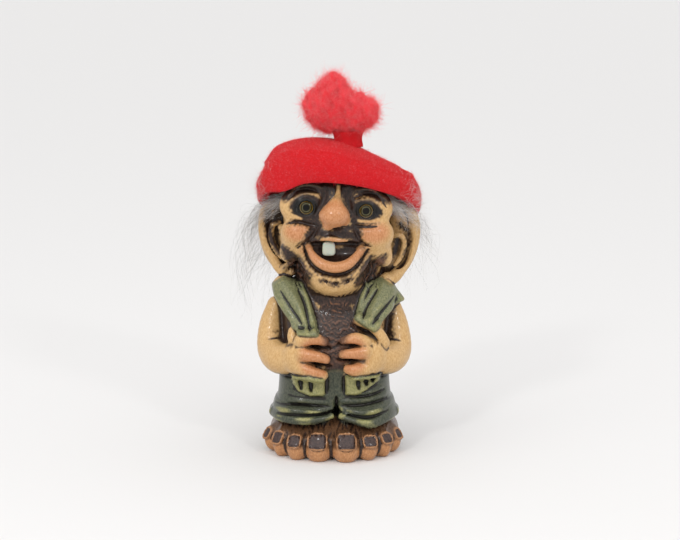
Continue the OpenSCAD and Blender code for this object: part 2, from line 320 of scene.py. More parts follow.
def patch(outline, rise, edge=0.8, front=0.0, part=None, behind=False):
    """Raise everything inside an outline drawn on the front as X and Z, or on the back."""
    run = np.array(outline, float)
    low = np.array([run[:, 0].min() - 3, clay_low[1], run[:, 1].min() - 3])
    high = np.array([run[:, 0].max() + 3, 60, run[:, 1].max() + 3])
    here, x, y, z = window(low, high)
    near, inside = np.full(np.broadcast(x, z).shape, 1e9), np.zeros(np.broadcast(x, z).shape, bool)
    for a, b in zip(run, np.roll(run, -1, 0)):
        step = b - a
        t = np.clip(((x - a[0]) * step[0] + (z - a[1]) * step[1]) / (step @ step), 0, 1)
        near = np.minimum(near, (x - a[0] - t * step[0]) ** 2 + (z - a[1] - t * step[1]) ** 2)
        crosses = (a[1] > z) != (b[1] > z)
        inside ^= crosses & (x < (b[0] - a[0]) * (z - a[1]) / (b[1] - a[1] + 1e-9) + a[0])
    signed = np.where(inside, np.sqrt(near), -np.sqrt(near))
    side = (y - front) if behind else (front - y)
    share = np.clip(0.5 + signed / edge, 0, 1) * np.clip(side / 2, 0, 1)
    clay[here] -= (rise * share).astype(np.float32)
    if part:
        for name, owned in cloth.items():
            owned[here] = owned[here] * (1 - share) + (share if name == part else 0)


# The instep mass that both feet share, with a rounded heel
for side in (LEFT, RIGHT):
    press(egg((side * 11.5, -1, 6.5), (14.6, 17.5, 9.5)), 4, "feet")
    press(egg((side * 12, 9, 6), (13.5, 12, 10)), 4, "feet")
press(egg((0, -4, 6), (13, 17, 9.5)), 4, "feet")

# Toes, as a middle, half sizes, the way each points in degrees, and the half width and height of its nail
TOES = [((-6.0, -19.0, 5.0), (5.4, 6.4, 6.6), 6, 3.3, 2.9),
        ((-14.3, -16.8, 4.8), (4.2, 5.8, 6.0), 18, 2.2, 2.3),
        ((-19.9, -11.8, 5.0), (3.4, 5.4, 5.8), 36, 1.8, 2.2),
        ((-23.8, -5.0, 5.3), (3.0, 4.4, 5.2), 56, 1.4, 1.9),
        ((4.6, -20.2, 5.2), (5.7, 6.4, 6.6), -3, 3.3, 2.9),
        ((12.9, -17.6, 4.9), (4.2, 5.8, 5.8), -16, 2.3, 2.0),
        ((18.5, -12.8, 5.0), (3.4, 5.4, 5.8), -34, 1.9, 1.8),
        ((22.6, -6.2, 5.3), (3.0, 4.4, 5.4), -54, 1.5, 1.7)]
nails = []
nail_lift = 34
skin_rim = 0.45
for middle, half, turn, wide, tall in TOES:
    press(egg(middle, half, (0, 0, -turn)), 2.2, "feet")
for middle, half, turn, wide, tall in TOES:
    rise, swing = math.radians(nail_lift), math.radians(turn)
    face = np.array([-math.sin(swing) * math.cos(rise), -math.cos(swing) * math.cos(rise), math.sin(rise)])
    level = np.array([math.cos(swing), -math.sin(swing), 0])
    upright = np.array([math.sin(swing) * math.sin(rise), math.cos(swing) * math.sin(rise), math.cos(rise)])
    local = np.array([0, math.cos(rise) / half[1], math.sin(rise) / half[2]])
    at = np.array(middle) + face / np.linalg.norm(local)
    pose = (-nail_lift, 0, -turn)
    # A rim of skin stands round each nail, squarer than an oval
    loop = [at - 0.35 * face
            + level * (wide + skin_rim) * math.copysign(abs(math.cos(a)) ** 0.75, math.cos(a))
            + upright * (tall + skin_rim + 0.1) * math.copysign(abs(math.sin(a)) ** 0.75, math.sin(a))
            for a in np.linspace(0, 2 * math.pi, 13)]
    press(rope(loop, skin_rim), 0.7, "feet")
    carve(slab(at, (wide, 0.8, tall), pose, 0.7), 0.4)
    press(slab(at - face * 1.5, (wide * 0.94, 1.35, tall * 0.92), pose, 0.8), 0.2, "feet")
    nails.append(slab(at, (wide, 2.0, tall), pose, 0.9))

# Trousers: two flared legs under one seat, with hems that dip in front
hem = 14.2
seat = 29.0
for side in (LEFT, RIGHT):
    leg = [(hem, side * 12.4, 0, 12.4, 18.6), (hem + 3, side * 12.2, 0, 12.6, 18.6),
           (hem + 7, side * 11.4, 0, 12.3, 17.4), (seat - 6, side * 10.4, 0, 12.2, 16.6),
           (seat + 2, side * 9.6, 0, 12.0, 16.0)]
    press(stack(leg, 2.3), 2.2, "trousers")
press(stack([(hem + 5, 0, 0, 17, 16.5), (seat - 4, 0, 0, 19, 16.6), (seat + 4, 0, 0, 20, 16.4)]), 3,
      "trousers")
press(rope([(-24.4, -4, 15.8), (-20.8, -12, 15.4), (-14.3, -17.2, 15.4), (-7, -18.0, 15.8),
            (-1, -16.6, 17.0)],
           [1.5, 1.6, 1.7, 1.6, 1.2]), 1.2, "trousers")
press(rope([(2, -16.6, 17.0), (8, -18.6, 15.8), (14.6, -18.6, 14.4), (19.8, -13.2, 15.4), (23.9, -4, 16.4)],
           [1.2, 1.6, 1.9, 1.7, 1.5]), 1.2, "trousers")
for side in (LEFT, RIGHT):
    back_hem = [(side * 24.2, -4, 15.8), (side * 23.6, 8, 15.2), (side * 13.6, 18.0, 15.0),
                (side * 2, 15.6, 16.0)]
    press(rope(back_hem, [1.5, 1.6, 1.7, 1.3]), 1.2, "trousers")

# Torso, neck, and the belly behind the hands
press(stack([(24, 0, 0, 19.5, 15.6), (31, 0, -0.5, 20.0, 16.6), (38, 0, -1.5, 20.0, 17.4),
             (46, 0, -1.5, 20.0, 17.0), (53, 0.2, -1, 20.5, 15.6), (59, 0.4, 0, 20.5, 13.5),
             (64, 0.8, 0.5, 17.0, 12.4), (70, 1.0, 1, 14.5, 12.0)], 2.3), 2.5)
press(egg((0.5, -9, 40), (12, 9.5, 10)), 4)
press(egg((head_x, -4, 63), (10, 10, 9)), 4)

# Arms: bare, bent across the belly. Shoulder, upper arm, elbow, forearm, wrist.
press(rope([(-23.2, 1.5, 58.0), (-24.7, 0, 50), (-24.3, -2.5, 41.5), (-21.0, -10.0, 38.6),
            (-13.5, -17.0, 41.0)],
           [3.6, 5.2, 6.3, 6.2, 5.8]), 1.6)
press(rope([(22.6, 1.5, 58.5), (24.3, 0, 50), (24.4, -2.5, 41.0), (21.0, -10.0, 38.6), (13.5, -17.0, 41.5)],
           [3.6, 5.2, 6.3, 6.2, 5.8]), 1.6)

# Hands: a palm, three fingers that lie on the belly, and a thumb
HANDS = [((-12.5, -18.6, 41.4), (6.6, 4.6, 8.4),
          [[(-12.5, -21.0, 48.0), (-8.0, -22.6, 49.0), (-4.0, -21.8, 47.6)],
           [(-12.5, -22.0, 43.0), (-7.5, -23.6, 42.4), (-3.4, -22.6, 41.0)],
           [(-12.5, -21.0, 37.4), (-8.0, -22.8, 35.8), (-4.2, -21.9, 34.4)]],
          [(-14.2, -18.0, 45.0), (-16.0, -17.6, 48.4), (-16.2, -16.8, 51.0)], [2.4, 2.2, 1.7]),
         ((12.8, -18.6, 41.6), (6.6, 4.6, 8.4),
          [[(12.0, -21.4, 48.2), (7.4, -22.8, 48.9), (4.2, -22.0, 47.8)],
           [(12.0, -22.2, 44.0), (7.0, -23.8, 43.6), (3.6, -22.8, 43.0)],
           [(12.0, -21.2, 37.2), (8.4, -23.0, 36.8), (5.6, -22.2, 37.0)]],
          [(19.2, -16.6, 46.4), (17.2, -18.2, 50.4), (13.0, -19.0, 53.8), (8.8, -18.6, 55.4)],
          [2.6, 2.3, 2.0, 1.6])]
for palm, half, fingers, thumb, thumb_radii in HANDS:
    press(egg(palm, half), 2.0)
    for finger in fingers:
        press(rope(finger, [2.9, 2.55, 2.0]), 0.9)
    press(rope(thumb, thumb_radii), 0.8)
GAPS = [[(-10.5, 45.6), (-6.5, 45.5), (-1.5, 44.6)], [(-10.2, 39.4), (-6.5, 38.8), (-1.5, 37.6)],
        [(10.0, 46.2), (6.5, 46.4), (1.5, 46.0)], [(9.0, 40.6), (6.0, 40.4), (1.5, 40.4)],
        [(9.5, 52.6), (13.0, 50.8), (16.8, 47.4)]]
for gap in GAPS:
    draw(gap, 1.0, -1.7, front=-10)

# Waistcoat: the back and sides, then the two open front panels and the hem band
VEST_BACK = [(-20.5, 27), (-21.5, 44), (-23.5, 62), (-15, 69), (15, 70), (24, 62), (21.5, 44), (20.5, 27)]
patch(VEST_BACK, 1.2, 1.5, front=1.5, part="vest", behind=True)
VEST_LEFT = [(-24.0, 63.0), (-19.0, 56.0), (-14.2, 50.6), (-6.0, 50.6), (-7.6, 56.5), (-9.8, 63.0),
             (-12.5, 68.5), (-20.0, 70.5), (-24.5, 67.5)]
VEST_RIGHT = [(10.2, 63.5), (8.0, 56.4), (12.0, 53.6), (15.6, 51.4), (21.4, 56.6), (27.5, 61.0),
              (24.5, 66.0), (18.5, 70.0), (12.5, 68.5)]
press(rope([(-20.0, -3.0, 66.5), (-16.0, -9.5, 60.5), (-10.8, -14.6, 53.6)], [4.4, 4.4, 3.6]), 2.0)
press(rope([(19.5, -3.0, 66.0), (17.0, -9.5, 60.5), (13.4, -14.8, 54.6)], [4.4, 4.6, 3.6]), 2.0)
press(rope([(20.5, -2.5, 63.5), (24.4, -2.8, 62.4), (26.9, -3.0, 61.4)], [3.2, 2.0, 0.9]), 1.2)
patch(VEST_LEFT, 1.3, 0.9, front=2.0, part="vest")
patch(VEST_RIGHT, 1.3, 0.9, front=2.0, part="vest")
VEST_RIDGES = [[(-23.6, 64.5), (-18.8, 57.4), (-13.6, 51.6)], [(-16.6, 66), (-13.2, 60), (-10.6, 52)],
               [(-11.4, 66), (-8.8, 59), (-7.2, 51.6)], [(26.4, 61.4), (21.4, 57.6), (16.2, 52.6)],
               [(21.0, 64.5), (16.8, 59.8), (12.6, 55.0)], [(12.2, 67), (10.2, 62), (9.0, 57.2)]]
VEST_FOLDS = [[(-20.8, 65.5), (-16.6, 59.6), (-12.6, 54.4)], [(-14.2, 66), (-11.4, 60), (-9.4, 52.4)],
              [(23.4, 63.2), (18.8, 58.8), (14.8, 54.4)], [(17.0, 66.4), (13.4, 61), (11.0, 56.4)]]
for ridge in VEST_RIDGES:
    draw(ridge, 1.1, 0.55)
for fold in VEST_FOLDS:
    draw(fold, 0.9, -1.15)
for x in (-14, -5, 5, 14):
    draw([(x * 0.8, 66), (x, 50), (x * 1.1, 35)], 1.6, -0.6, front=4, behind=True)
    draw([(x * 0.8 + 3.2, 65), (x + 3.4, 48), (x * 1.1 + 3, 36)], 1.4, 0.4, front=4, behind=True)

# The hem band shows under the hands in two lengths, with notches between its tabs
HEM_LEFT = [(-16.8, 33.4), (-15.8, 29.6), (-14.2, 27.2), (-9.4, 25.6), (-3.8, 25.8), (-3.8, 33.2),
            (-9.5, 34.6)]
HEM_RIGHT = [(4.6, 26.0), (8.6, 26.0), (12.6, 27.6), (17.6, 31.0), (18.2, 33.8), (10.0, 34.4), (4.4, 33.4)]
for outline_of in (HEM_LEFT, HEM_RIGHT):
    patch(outline_of, 1.5, 0.8, front=-4, part="vest")
NOTCHES = [[(-13.3, 31.6), (-12.9, 28.2)], [(-9.2, 31.4), (-9.0, 27.6)], [(9.2, 31.6), (9.7, 28.4)],
           [(12.3, 32.0), (12.7, 29.8)], [(14.8, 32.6), (15.1, 31.0)]]
for notch in NOTCHES:
    draw(notch, 1.1, -1.3, front=-4)
draw([(-2.6, 33), (-2.9, 26.0)], 0.8, -0.8, front=-4)
draw([(3.6, 33), (3.8, 26.0)], 0.8, -0.8, front=-4)

# Trouser folds: slack cloth that lies in rolls above the hem
ROLLS = [[(-21.5, 22.6), (-14, 23.2), (-3, 22.2)], [(-23.6, 18.8), (-17, 19.6), (-6, 18.6)],
         [(3, 22.8), (12, 23.6), (20.4, 24.6)], [(5, 19.2), (14, 19.0), (22, 21.0)],
         [(-17.6, 26.2), (-10, 25.6), (-3, 25.4)], [(5, 25.8), (12, 26.2), (18.6, 27.6)]]
CREASES = [[(-17, 21.6), (-10, 21.4), (-1.5, 20.6)], [(-22.8, 20.4), (-16, 21.3), (-9, 21.3)],
           [(-22, 17.2), (-14, 17.6), (-2, 17.6)], [(3, 21.0), (11, 21.4), (20.4, 22.8)],
           [(5, 17.4), (13, 16.8), (21, 18.4)], [(6, 24.7), (13, 25.0), (19.6, 26.4)]]
for roll in ROLLS:
    draw(roll, 1.2, 0.8, front=-2)
for crease in CREASES:
    draw(crease, 0.65, -0.95, front=-2)
draw([(0.9, 24.5), (0.9, 20), (1.1, 16.5)], 1.0, -2.2, front=-4)
for height, dip in ((19, 1.0), (23, -0.8)):
    for side in (LEFT, RIGHT):
        draw([(side * 3, height), (side * 12, height - dip), (side * 22, height + 0.5)], 0.9, -0.9,
             front=2, behind=True)
draw([(0.6, 26), (0.4, 20), (0.6, 14)], 1.0, -2.0, front=2, behind=True)

# Head: a broad cranium, full cheeks, a narrow jaw, and a thick neck behind it
press(egg((head_x - 0.6, 0.5, crown_top - 22.4), (20.4, 20.2, 20.4), (0, 6, 0)), 3)
press(stack([(66, 0.6, -7.5, 9, 8), (70, 0.2, -9, 11.2, 10.6), (76, 0.4, -8, 12.8, 12.4),
             (82, 0.8, -6.5, 17.0, 13.6), (88, 1.2, -5, 20.0, 14.6), (94, 1.2, -4, 20.4, 15.4),
             (101, 1.0, -2, 20.2, 17.4), (108, 1.0, 0, 19.6, 18.4)], 2.2), 3)
press(egg((head_x, 3, 76), (18.5, 12, 13)), 4)

# Cheeks, nose and its bridge
press(egg((-13.4, -14.0, 89.4), (7.4, 6.6, 6.4)), 2.4)
press(egg((15.4, -14.0, 88.8), (7.8, 6.6, 6.8)), 2.4)
press(egg((-15.6, -10.8, 84.0), (4.8, 5.0, 7.4), (0, 32, 0)), 3.5)
press(egg((17.0, -10.8, 82.8), (4.8, 5.0, 8.0), (0, -30, 0)), 3.5)
press(rope([(1.6, -19.0, 109.0), (1.6, -20.0, 106.0), (1.2, -22.0, 103.0)], [0.8, 0.95, 1.5]), 0.8)
press(egg((0.2, -25.2, 97.9), (6.0, 6.0, 4.9)), 0.8)
press(egg((0.7, -23.6, 101.6), (2.8, 3.7, 2.8)), 1.5)
press(egg((4.2, -23.4, 95.6), (2.1, 3.1, 2.4)), 0.8)
press(egg((-2.3, -25.0, 93.7), (2.1, 2.5, 1.9)), 1.2)
carve(egg((2.4, -24.4, 92.4), (3.4, 2.4, 0.9), (0, -6, 0)), 0.5)

# Upper lip, lower lip round its arc, and the folds of the chin
press(egg((0.5, -17.4, 89.6), (8.0, 3.4, 3.4)), 1.5)
press(rope([(-6.0, -19.0, 87.2), (-2.2, -20.6, 88.2), (1.6, -20.8, 87.4), (5.4, -19.8, 86.4)],
           [0.8, 1.2, 1.15, 0.8]), 0.6)
carve(egg((-0.2, -19.2, 82.6), (10.4, 4.8, 4.4)), 0.8)
carve(egg((0.2, -18.4, 85.0), (11.6, 4.2, 2.0)), 0.6)
LIP = [(-10.4, -15.6, 85.2), (-8.4, -18.4, 81.2), (-4.6, -20.6, 78.0), (0.4, -21.4, 76.8),
       (5.4, -20.8, 78.0), (8.8, -18.6, 81.0), (11.2, -15.8, 84.8)]
press(rope(LIP, [0.9, 1.6, 2.1, 2.2, 2.1, 1.6, 0.9]), 0.7)
draw([(-11.6, 84.4), (-9.8, 78.8), (-6.0, 75.2), (0.2, 73.4), (5.8, 74.7), (9.8, 78.0), (13.2, 83.4)],
     0.85, -1.9, front=-6)
press(rope([(-12.4, -12.2, 80.0), (-9.0, -15.4, 74.6), (-3.4, -17.8, 71.8), (4.0, -17.8, 71.8),
            (9.4, -15.2, 75.0), (12.8, -12.4, 80.0)], [1.4, 1.8, 2.0, 2.0, 1.8, 1.4]), 1.2)
press(egg((0.2, -13.6, 69.4), (8.6, 5.6, 4.8)), 1.6)
for dimple in ((-3.6, 71.0), (0.1, 70.2), (4.6, 71.0)):
    draw([dimple, (dimple[0] + 1.2, dimple[1] + 0.1)], 0.9, -1.3, front=-6)

# Eyes: deep sockets round the glass, with carved lids, brow folds and bags
eyes = []
for name in ("left_eye_glass", "right_eye_glass"):
    eye_low, eye_high = [np.array(corner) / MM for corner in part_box(name)]
    eyes.append(((eye_low + eye_high) / 2, eye_high[1], (eye_high[0] - eye_low[0]) / 2))
for side, (middle, back, radius) in zip((LEFT, RIGHT), eyes):
    press(egg((middle[0] + side * 1.6, -14.6, middle[2] + 0.5), (8.8, 4.6, 7.6)), 2.2)
    carve(egg((middle[0] + side * 0.6, back - 3.4, middle[2] - 0.2), (6.9, 4.2, 4.5), (0, -side * 8, 0)),
          0.6)
    carve(egg((middle[0], back - 1.8, middle[2]), (radius + 0.15, 3.4, radius + 0.15)), 0.2)
    # The rolled edge of the lids holds the glass
    reach = radius + 0.36
    ring = [(middle[0] + reach * math.cos(a), back - 0.45, middle[2] + reach * math.sin(a))
            for a in np.linspace(0, 2 * math.pi, 13)]
    press(rope(ring, 0.5), 0.3)
LIDS = [[(-19.0, 95.8), (-18.6, 98.6), (-16.8, 102.0), (-13.8, 104.4), (-10.0, 105.2), (-7.0, 104.6),
         (-4.6, 103.0)],
        [(8.2, 101.8), (11.0, 102.8), (14.6, 102.3), (17.4, 100.8), (19.2, 98.0), (18.8, 95.2)]]
BROWS = [[(-17.6, 103.6), (-15.4, 106.6), (-11.8, 108.0), (-8.0, 108.2), (-4.2, 107.2)],
         [(8.0, 106.4), (12.6, 106.7), (17.0, 105.2), (20.0, 102.6), (21.4, 98.8)]]
BAGS = [[(-17.8, 95.6), (-15.0, 95.4), (-11.0, 95.0), (-6.6, 95.2)],
        [(7.6, 94.8), (11.0, 93.9), (15.0, 93.8), (18.6, 94.8)]]


def on_face(line, front):
    """Give a line of X and Z its depth, so that it follows the curve of the face."""
    return [(x, front + 0.011 * (x - head_x) ** 2, z) for x, z in line]


for lid in LIDS:
    lid_radii = np.interp(np.linspace(0, 1, len(lid)), (0, 0.3, 0.7, 1), (0.5, 0.85, 0.85, 0.5))
    press(rope(on_face(lid, -19.4), lid_radii), 0.5)
for brow in BROWS:
    press(rope(on_face(brow, -18.0), [0.6, 0.9, 1.0, 0.9, 0.6]), 0.7)
for bag in BAGS:
    press(rope(on_face(bag, -18.9), [0.8, 1.1, 1.1, 0.8]), 0.5)
FACE_LINES = [[(-17.4, 93.4), (-14.0, 94.0), (-9.5, 93.0), (-6.2, 92.6)],
              [(6.8, 93.0), (10.8, 92.2), (16.6, 92.4)],
              [(-5.6, 93.0), (-8.0, 89.0), (-10.8, 86.2), (-14.2, 83.8)],
              [(7.4, 92.0), (9.4, 88.4), (12.0, 85.2), (14.0, 84.6)],
              [(-17.8, 102.4), (-14.4, 105.6), (-10.4, 106.6), (-5.6, 105.6)],
              [(7.6, 103.6), (12.6, 105.0), (17.0, 103.8), (20.2, 99.6)]]
for line in FACE_LINES:
    draw(line, 0.7, -0.9, front=-5)
draw([(-3.4, 107.5), (-4.0, 103.0), (-5.6, 99.5)], 1.3, -1.0, front=-10)
draw([(5.4, 107.5), (5.2, 103.0), (6.6, 98.0)], 1.3, -1.0, front=-10)

# Ears: a dished leaf that faces forwards, a rolled rim, an inner ridge and a lobe
press(egg((-22.4, 2.2, 85.0), (7.2, 2.6, 14.5), (0, -14, 10)), 1.6)
press(egg((25.8, 2.2, 82.6), (7.6, 2.6, 15.5), (0, 16, -10)), 1.6)
press(rope([(-24.0, 1.0, 99.0), (-27.4, 0.4, 96.5), (-28.2, 0, 92.0), (-28.0, 0, 86.8), (-26.6, 0, 82.0),
            (-24.2, -0.6, 77.6), (-22.2, -1.4, 74.0), (-19.6, -2, 71.8), (-17.0, -2.4, 72.0)],
           [1.2, 1.5, 1.6, 1.6, 1.7, 1.9, 2.0, 2.1, 1.8]), 0.7)
press(rope([(26.8, 1.0, 98.4), (30.0, 0.4, 95.4), (31.1, 0, 91.0), (31.2, 0, 86.0), (30.4, 0, 81.4),
            (28.8, -0.4, 76.6), (26.2, -1.2, 72.8), (23.2, -2, 69.6), (20.6, -2.6, 69.6)],
           [1.2, 1.5, 1.6, 1.7, 1.8, 2.0, 2.3, 2.6, 2.2]), 0.7)
carve(egg((-23.8, -1.6, 87.0), (2.6, 2.2, 9.5), (0, -14, 0)), 0.7)
carve(egg((26.6, -2.2, 81.6), (4.4, 2.6, 9.0), (0, 14, 0)), 0.7)
press(rope([(-21.6, -1.6, 91.6), (-24.4, -1.8, 90.4), (-24.6, -2.0, 85.0), (-22.6, -2.4, 80.6),
            (-20.4, -3, 78.0)],
           [0.9, 1.2, 1.3, 1.3, 1.2]), 0.6)
press(rope([(-20.8, -3.6, 90.0), (-19.8, -4.2, 86.0), (-19.4, -4.8, 81.5)], [1.3, 1.6, 1.2]), 0.8)
press(rope([(23.6, -2.4, 86.4), (26.4, -2.6, 86.4), (27.6, -2.4, 83.0), (26.4, -2.4, 78.4),
            (24.0, -2.8, 75.0)],
           [1.0, 1.15, 1.2, 1.2, 0.9]), 0.6)
for knob in ((-19.6, -3.6, 73.8), (-17.4, -4.2, 76.4), (-18.2, -4.2, 79.0)):
    press(egg(knob, (1.6, 1.5, 1.9)), 0.6)


# Engraved hair on the chest, the neck behind the jaw and the instep, and the level underside
def engrave(at, half, spacing, depth, flow):
    """Score fine hair lines, spacing apart, inside an egg-shaped place, along a flow of X, Y and Z."""
    low, high, dist = egg(at, half)
    here, x, y, z = window(low, high)
    fade = np.clip(-dist(x, y, z) / 2.5, 0, 1)
    waver = 0.45 * np.sin(x * 1.3 + z * 0.55) + 0.4 * np.sin(z * 1.4 - x * 0.9)
    clay[here] += (depth * fade * np.cos(2 * math.pi * (flow(x, y,
                                                             z) + waver) / spacing)).astype(np.float32)


engrave((0.6, -16, 53), (11, 9, 15), 1.25, 0.17,
        lambda x, y, z: np.sqrt((1.9 * (x - 0.8)) ** 2 + (z - 70) ** 2))
engrave((-14, -9, 74), (7, 8, 9), 1.8, 0.24, lambda x, y, z: x * 1.1 + 0.4 * z)
engrave((15, -9, 73), (7, 8, 9), 1.8, 0.24, lambda x, y, z: -x * 1.1 + 0.4 * z)
engrave((0, -14, 11.0), (26, 14, 5.0), 1.7, 0.2, lambda x, y, z: x)
here, x, y, z = window(clay_low, cast_high + 4)
clay[here] = np.maximum(clay[here], -z)
plug_low, plug_high = [np.array(corner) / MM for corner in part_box("base_plug")]
pour_radius = (plug_high[0] - plug_low[0]) / 2 + 0.15
here, x, y, z = window(np.array([-12, -12, -2]), np.array([12, 12, plug_high[2] + 2]))
recess = np.maximum(np.sqrt(x ** 2 + y ** 2) - pour_radius, z - plug_high[2] - 0.1)
clay[here] = np.maximum(clay[here], -recess)


def skin(values, low, step):
    """Surface nets: one point in each grid cell that the surface crosses, and its quads."""
    inside = values < 0
    cells = tuple(n - 1 for n in values.shape)
    total, count = np.zeros(cells + (3,), np.float32), np.zeros(cells, np.float32)
    for axis in range(3):
        ahead = [slice(None)] * 3
        behind = [slice(None)] * 3
        ahead[axis], behind[axis] = slice(1, None), slice(None, -1)
        first, second = values[tuple(behind)], values[tuple(ahead)]
        cross = inside[tuple(behind)] != inside[tuple(ahead)]
        share = np.where(cross, first / np.where(cross, first - second, 1), 0)
        others = [k for k in range(3) if k != axis]
        for shift in ((0, 0), (0, 1), (1, 0), (1, 1)):
            part = [slice(None)] * 3
            for k, s in zip(others, shift):
                part[k] = slice(s, s + cells[k])
            hit = cross[tuple(part)]
            count += hit
            total[..., axis] += share[tuple(part)]
            for k, s in zip(others, shift):
                total[..., k] += s * hit
    active = count > 0
    index = -np.ones(cells, np.int64)
    index[active] = np.arange(active.sum())
    points = np.argwhere(active) + total[active] / count[active][:, None]
    quads = []
    for axis in range(3):
        ahead, behind = [slice(1, -1)] * 3, [slice(1, -1)] * 3
        ahead[axis], behind[axis] = slice(1, None), slice(None, -1)
        cross = inside[tuple(behind)] != inside[tuple(ahead)]
        at = np.argwhere(cross)
        for k in range(3):
            if k != axis:
                at[:, k] += 1
        leaves = inside[tuple(at.T)]
        u, v = [(1, 2), (2, 0), (0, 1)][axis]
        corners = []
        for du, dv in ((1, 1), (0, 1), (0, 0), (1, 0)):
            corner = at.copy()
            corner[:, u] -= du
            corner[:, v] -= dv
            corners.append(index[tuple(corner.T)])
        ring = np.stack(corners, 1)
        ring[~leaves] = ring[~leaves][:, ::-1]
        quads.append(ring)
    quads = np.vstack(quads)
    used = np.unique(quads)
    order = np.full(len(points), -1)
    order[used] = np.arange(len(used))
    return (points * step + low)[used], order[quads]


def grid_mean(values, reach):
    """Box average over reach cells each way, along all three axes."""
    for axis in range(3):
        total = np.cumsum(values, axis=axis, dtype=np.float64)
        size = values.shape[axis]
        top = np.minimum(np.arange(size) + reach, size - 1)
        bottom = np.arange(size) - reach - 1
        lower = np.take(total, np.maximum(bottom, 0), axis=axis)
        shape = [1, 1, 1]
        shape[axis] = size
        lower *= (bottom >= 0).reshape(shape)
        values = ((np.take(total, top, axis=axis) - lower) / (2 * reach + 1)).astype(np.float32)
    return values


def sample(values, points):
    """Values of the grid at points in millimetres, by trilinear weights."""
    place = np.clip((points - clay_low) / GRID, 0, np.array(values.shape) - 1.001)
    cell = place.astype(int)
    part = place - cell
    total = np.zeros(len(points))
    for corner in np.ndindex(2, 2, 2):
        weight = np.prod([part[:, k] if c else 1 - part[:, k] for k, c in enumerate(corner)], axis=0)
        total += weight * values[tuple((cell + corner).T)]
    return total


points, quads = skin(clay, clay_low, GRID)
casting = mesh_object("painted_casting", (points * MM).tolist(), quads.tolist())


# How the paint lies on the casting: each mask is a share from 0 to 1 at every point.
# The brown wash stays in the hollows and is wiped off the high places; the hollows are also darkened as
# painted shade, by how much solid lies round each point.
solid = np.clip(0.5 - clay / GRID, 0, 1)
fine_hollow = sample(grid_mean(solid, 2), points) - 0.5
wide_hollow = sample(grid_mean(solid, 6), points) - 0.5
x, y, z = points.T


def within(shapes, edge=1.0):
    """Share of each point that lies inside any of the shapes, with a soft edge."""
    best = np.full(len(points), 9.0)
    for low, high, dist in shapes:
        near = np.all((points > low - 2 * edge) & (points < high + 2 * edge), axis=1)
        best[near] = np.minimum(best[near], dist(x[near], y[near], z[near]))
    return np.clip(0.5 - best / (2 * edge), 0, 1)


def between(values, low, high):
    """Smooth step from 0 at low to 1 at high."""
    t = np.clip((values - low) / (high - low), 0, 1)
    return t * t * (3 - 2 * t)


def grid_share(values, at):
    """A part's share of the surface, spread a cell or so past its own edge."""
    return between(sample(grid_mean(values, 1), at), 0.02, 0.35)


vest = grid_share(cloth["vest"], points)
trousers = between(sample(grid_mean(cloth["trousers"], 1), points), 0.1, 0.5)
feet = np.clip(sample(cloth["feet"], points), 0, 1)
nail = within(nails, 0.35) * feet
# Shares of fine and wide hollows: they darken the paint, partly as the brown wash and partly as painted
# shade.
sunk = between(fine_hollow, 0.01, 0.07)
pooled_wash_and_shade = between(wide_hollow, 0.02, 0.16)


def dab(outline_of, radii, behind=2.0, front=-60.0):
    """A brush mark seen from the front, along points drawn as X and Z, that reaches from front to behind."""
    radii = np.broadcast_to(np.array(radii, float), len(outline_of))
    run = curve(np.column_stack([outline_of, radii]), 4)

    def dist(x, y, z):
        best = np.full(np.shape(x), 99.0)
        for a, b in zip(run, run[1:]):
            step = b[:2] - a[:2]
            t = np.clip(((x - a[0]) * step[0] + (z - a[1]) * step[1]) / max(step @ step, 1e-9), 0, 1)
            off = np.hypot(x - a[0] - t * step[0], z - a[1] - t * step[1])
            best = np.minimum(best, off - a[2] - t * (b[2] - a[2]))
        return np.maximum(best, np.maximum(y - behind, front - y))
    grow = run[:, 2].max()
    low = np.array([run[:, 0].min() - grow, front, run[:, 1].min() - grow])
    return low, np.array([run[:, 0].max() + grow, behind, run[:, 1].max() + grow]), dist
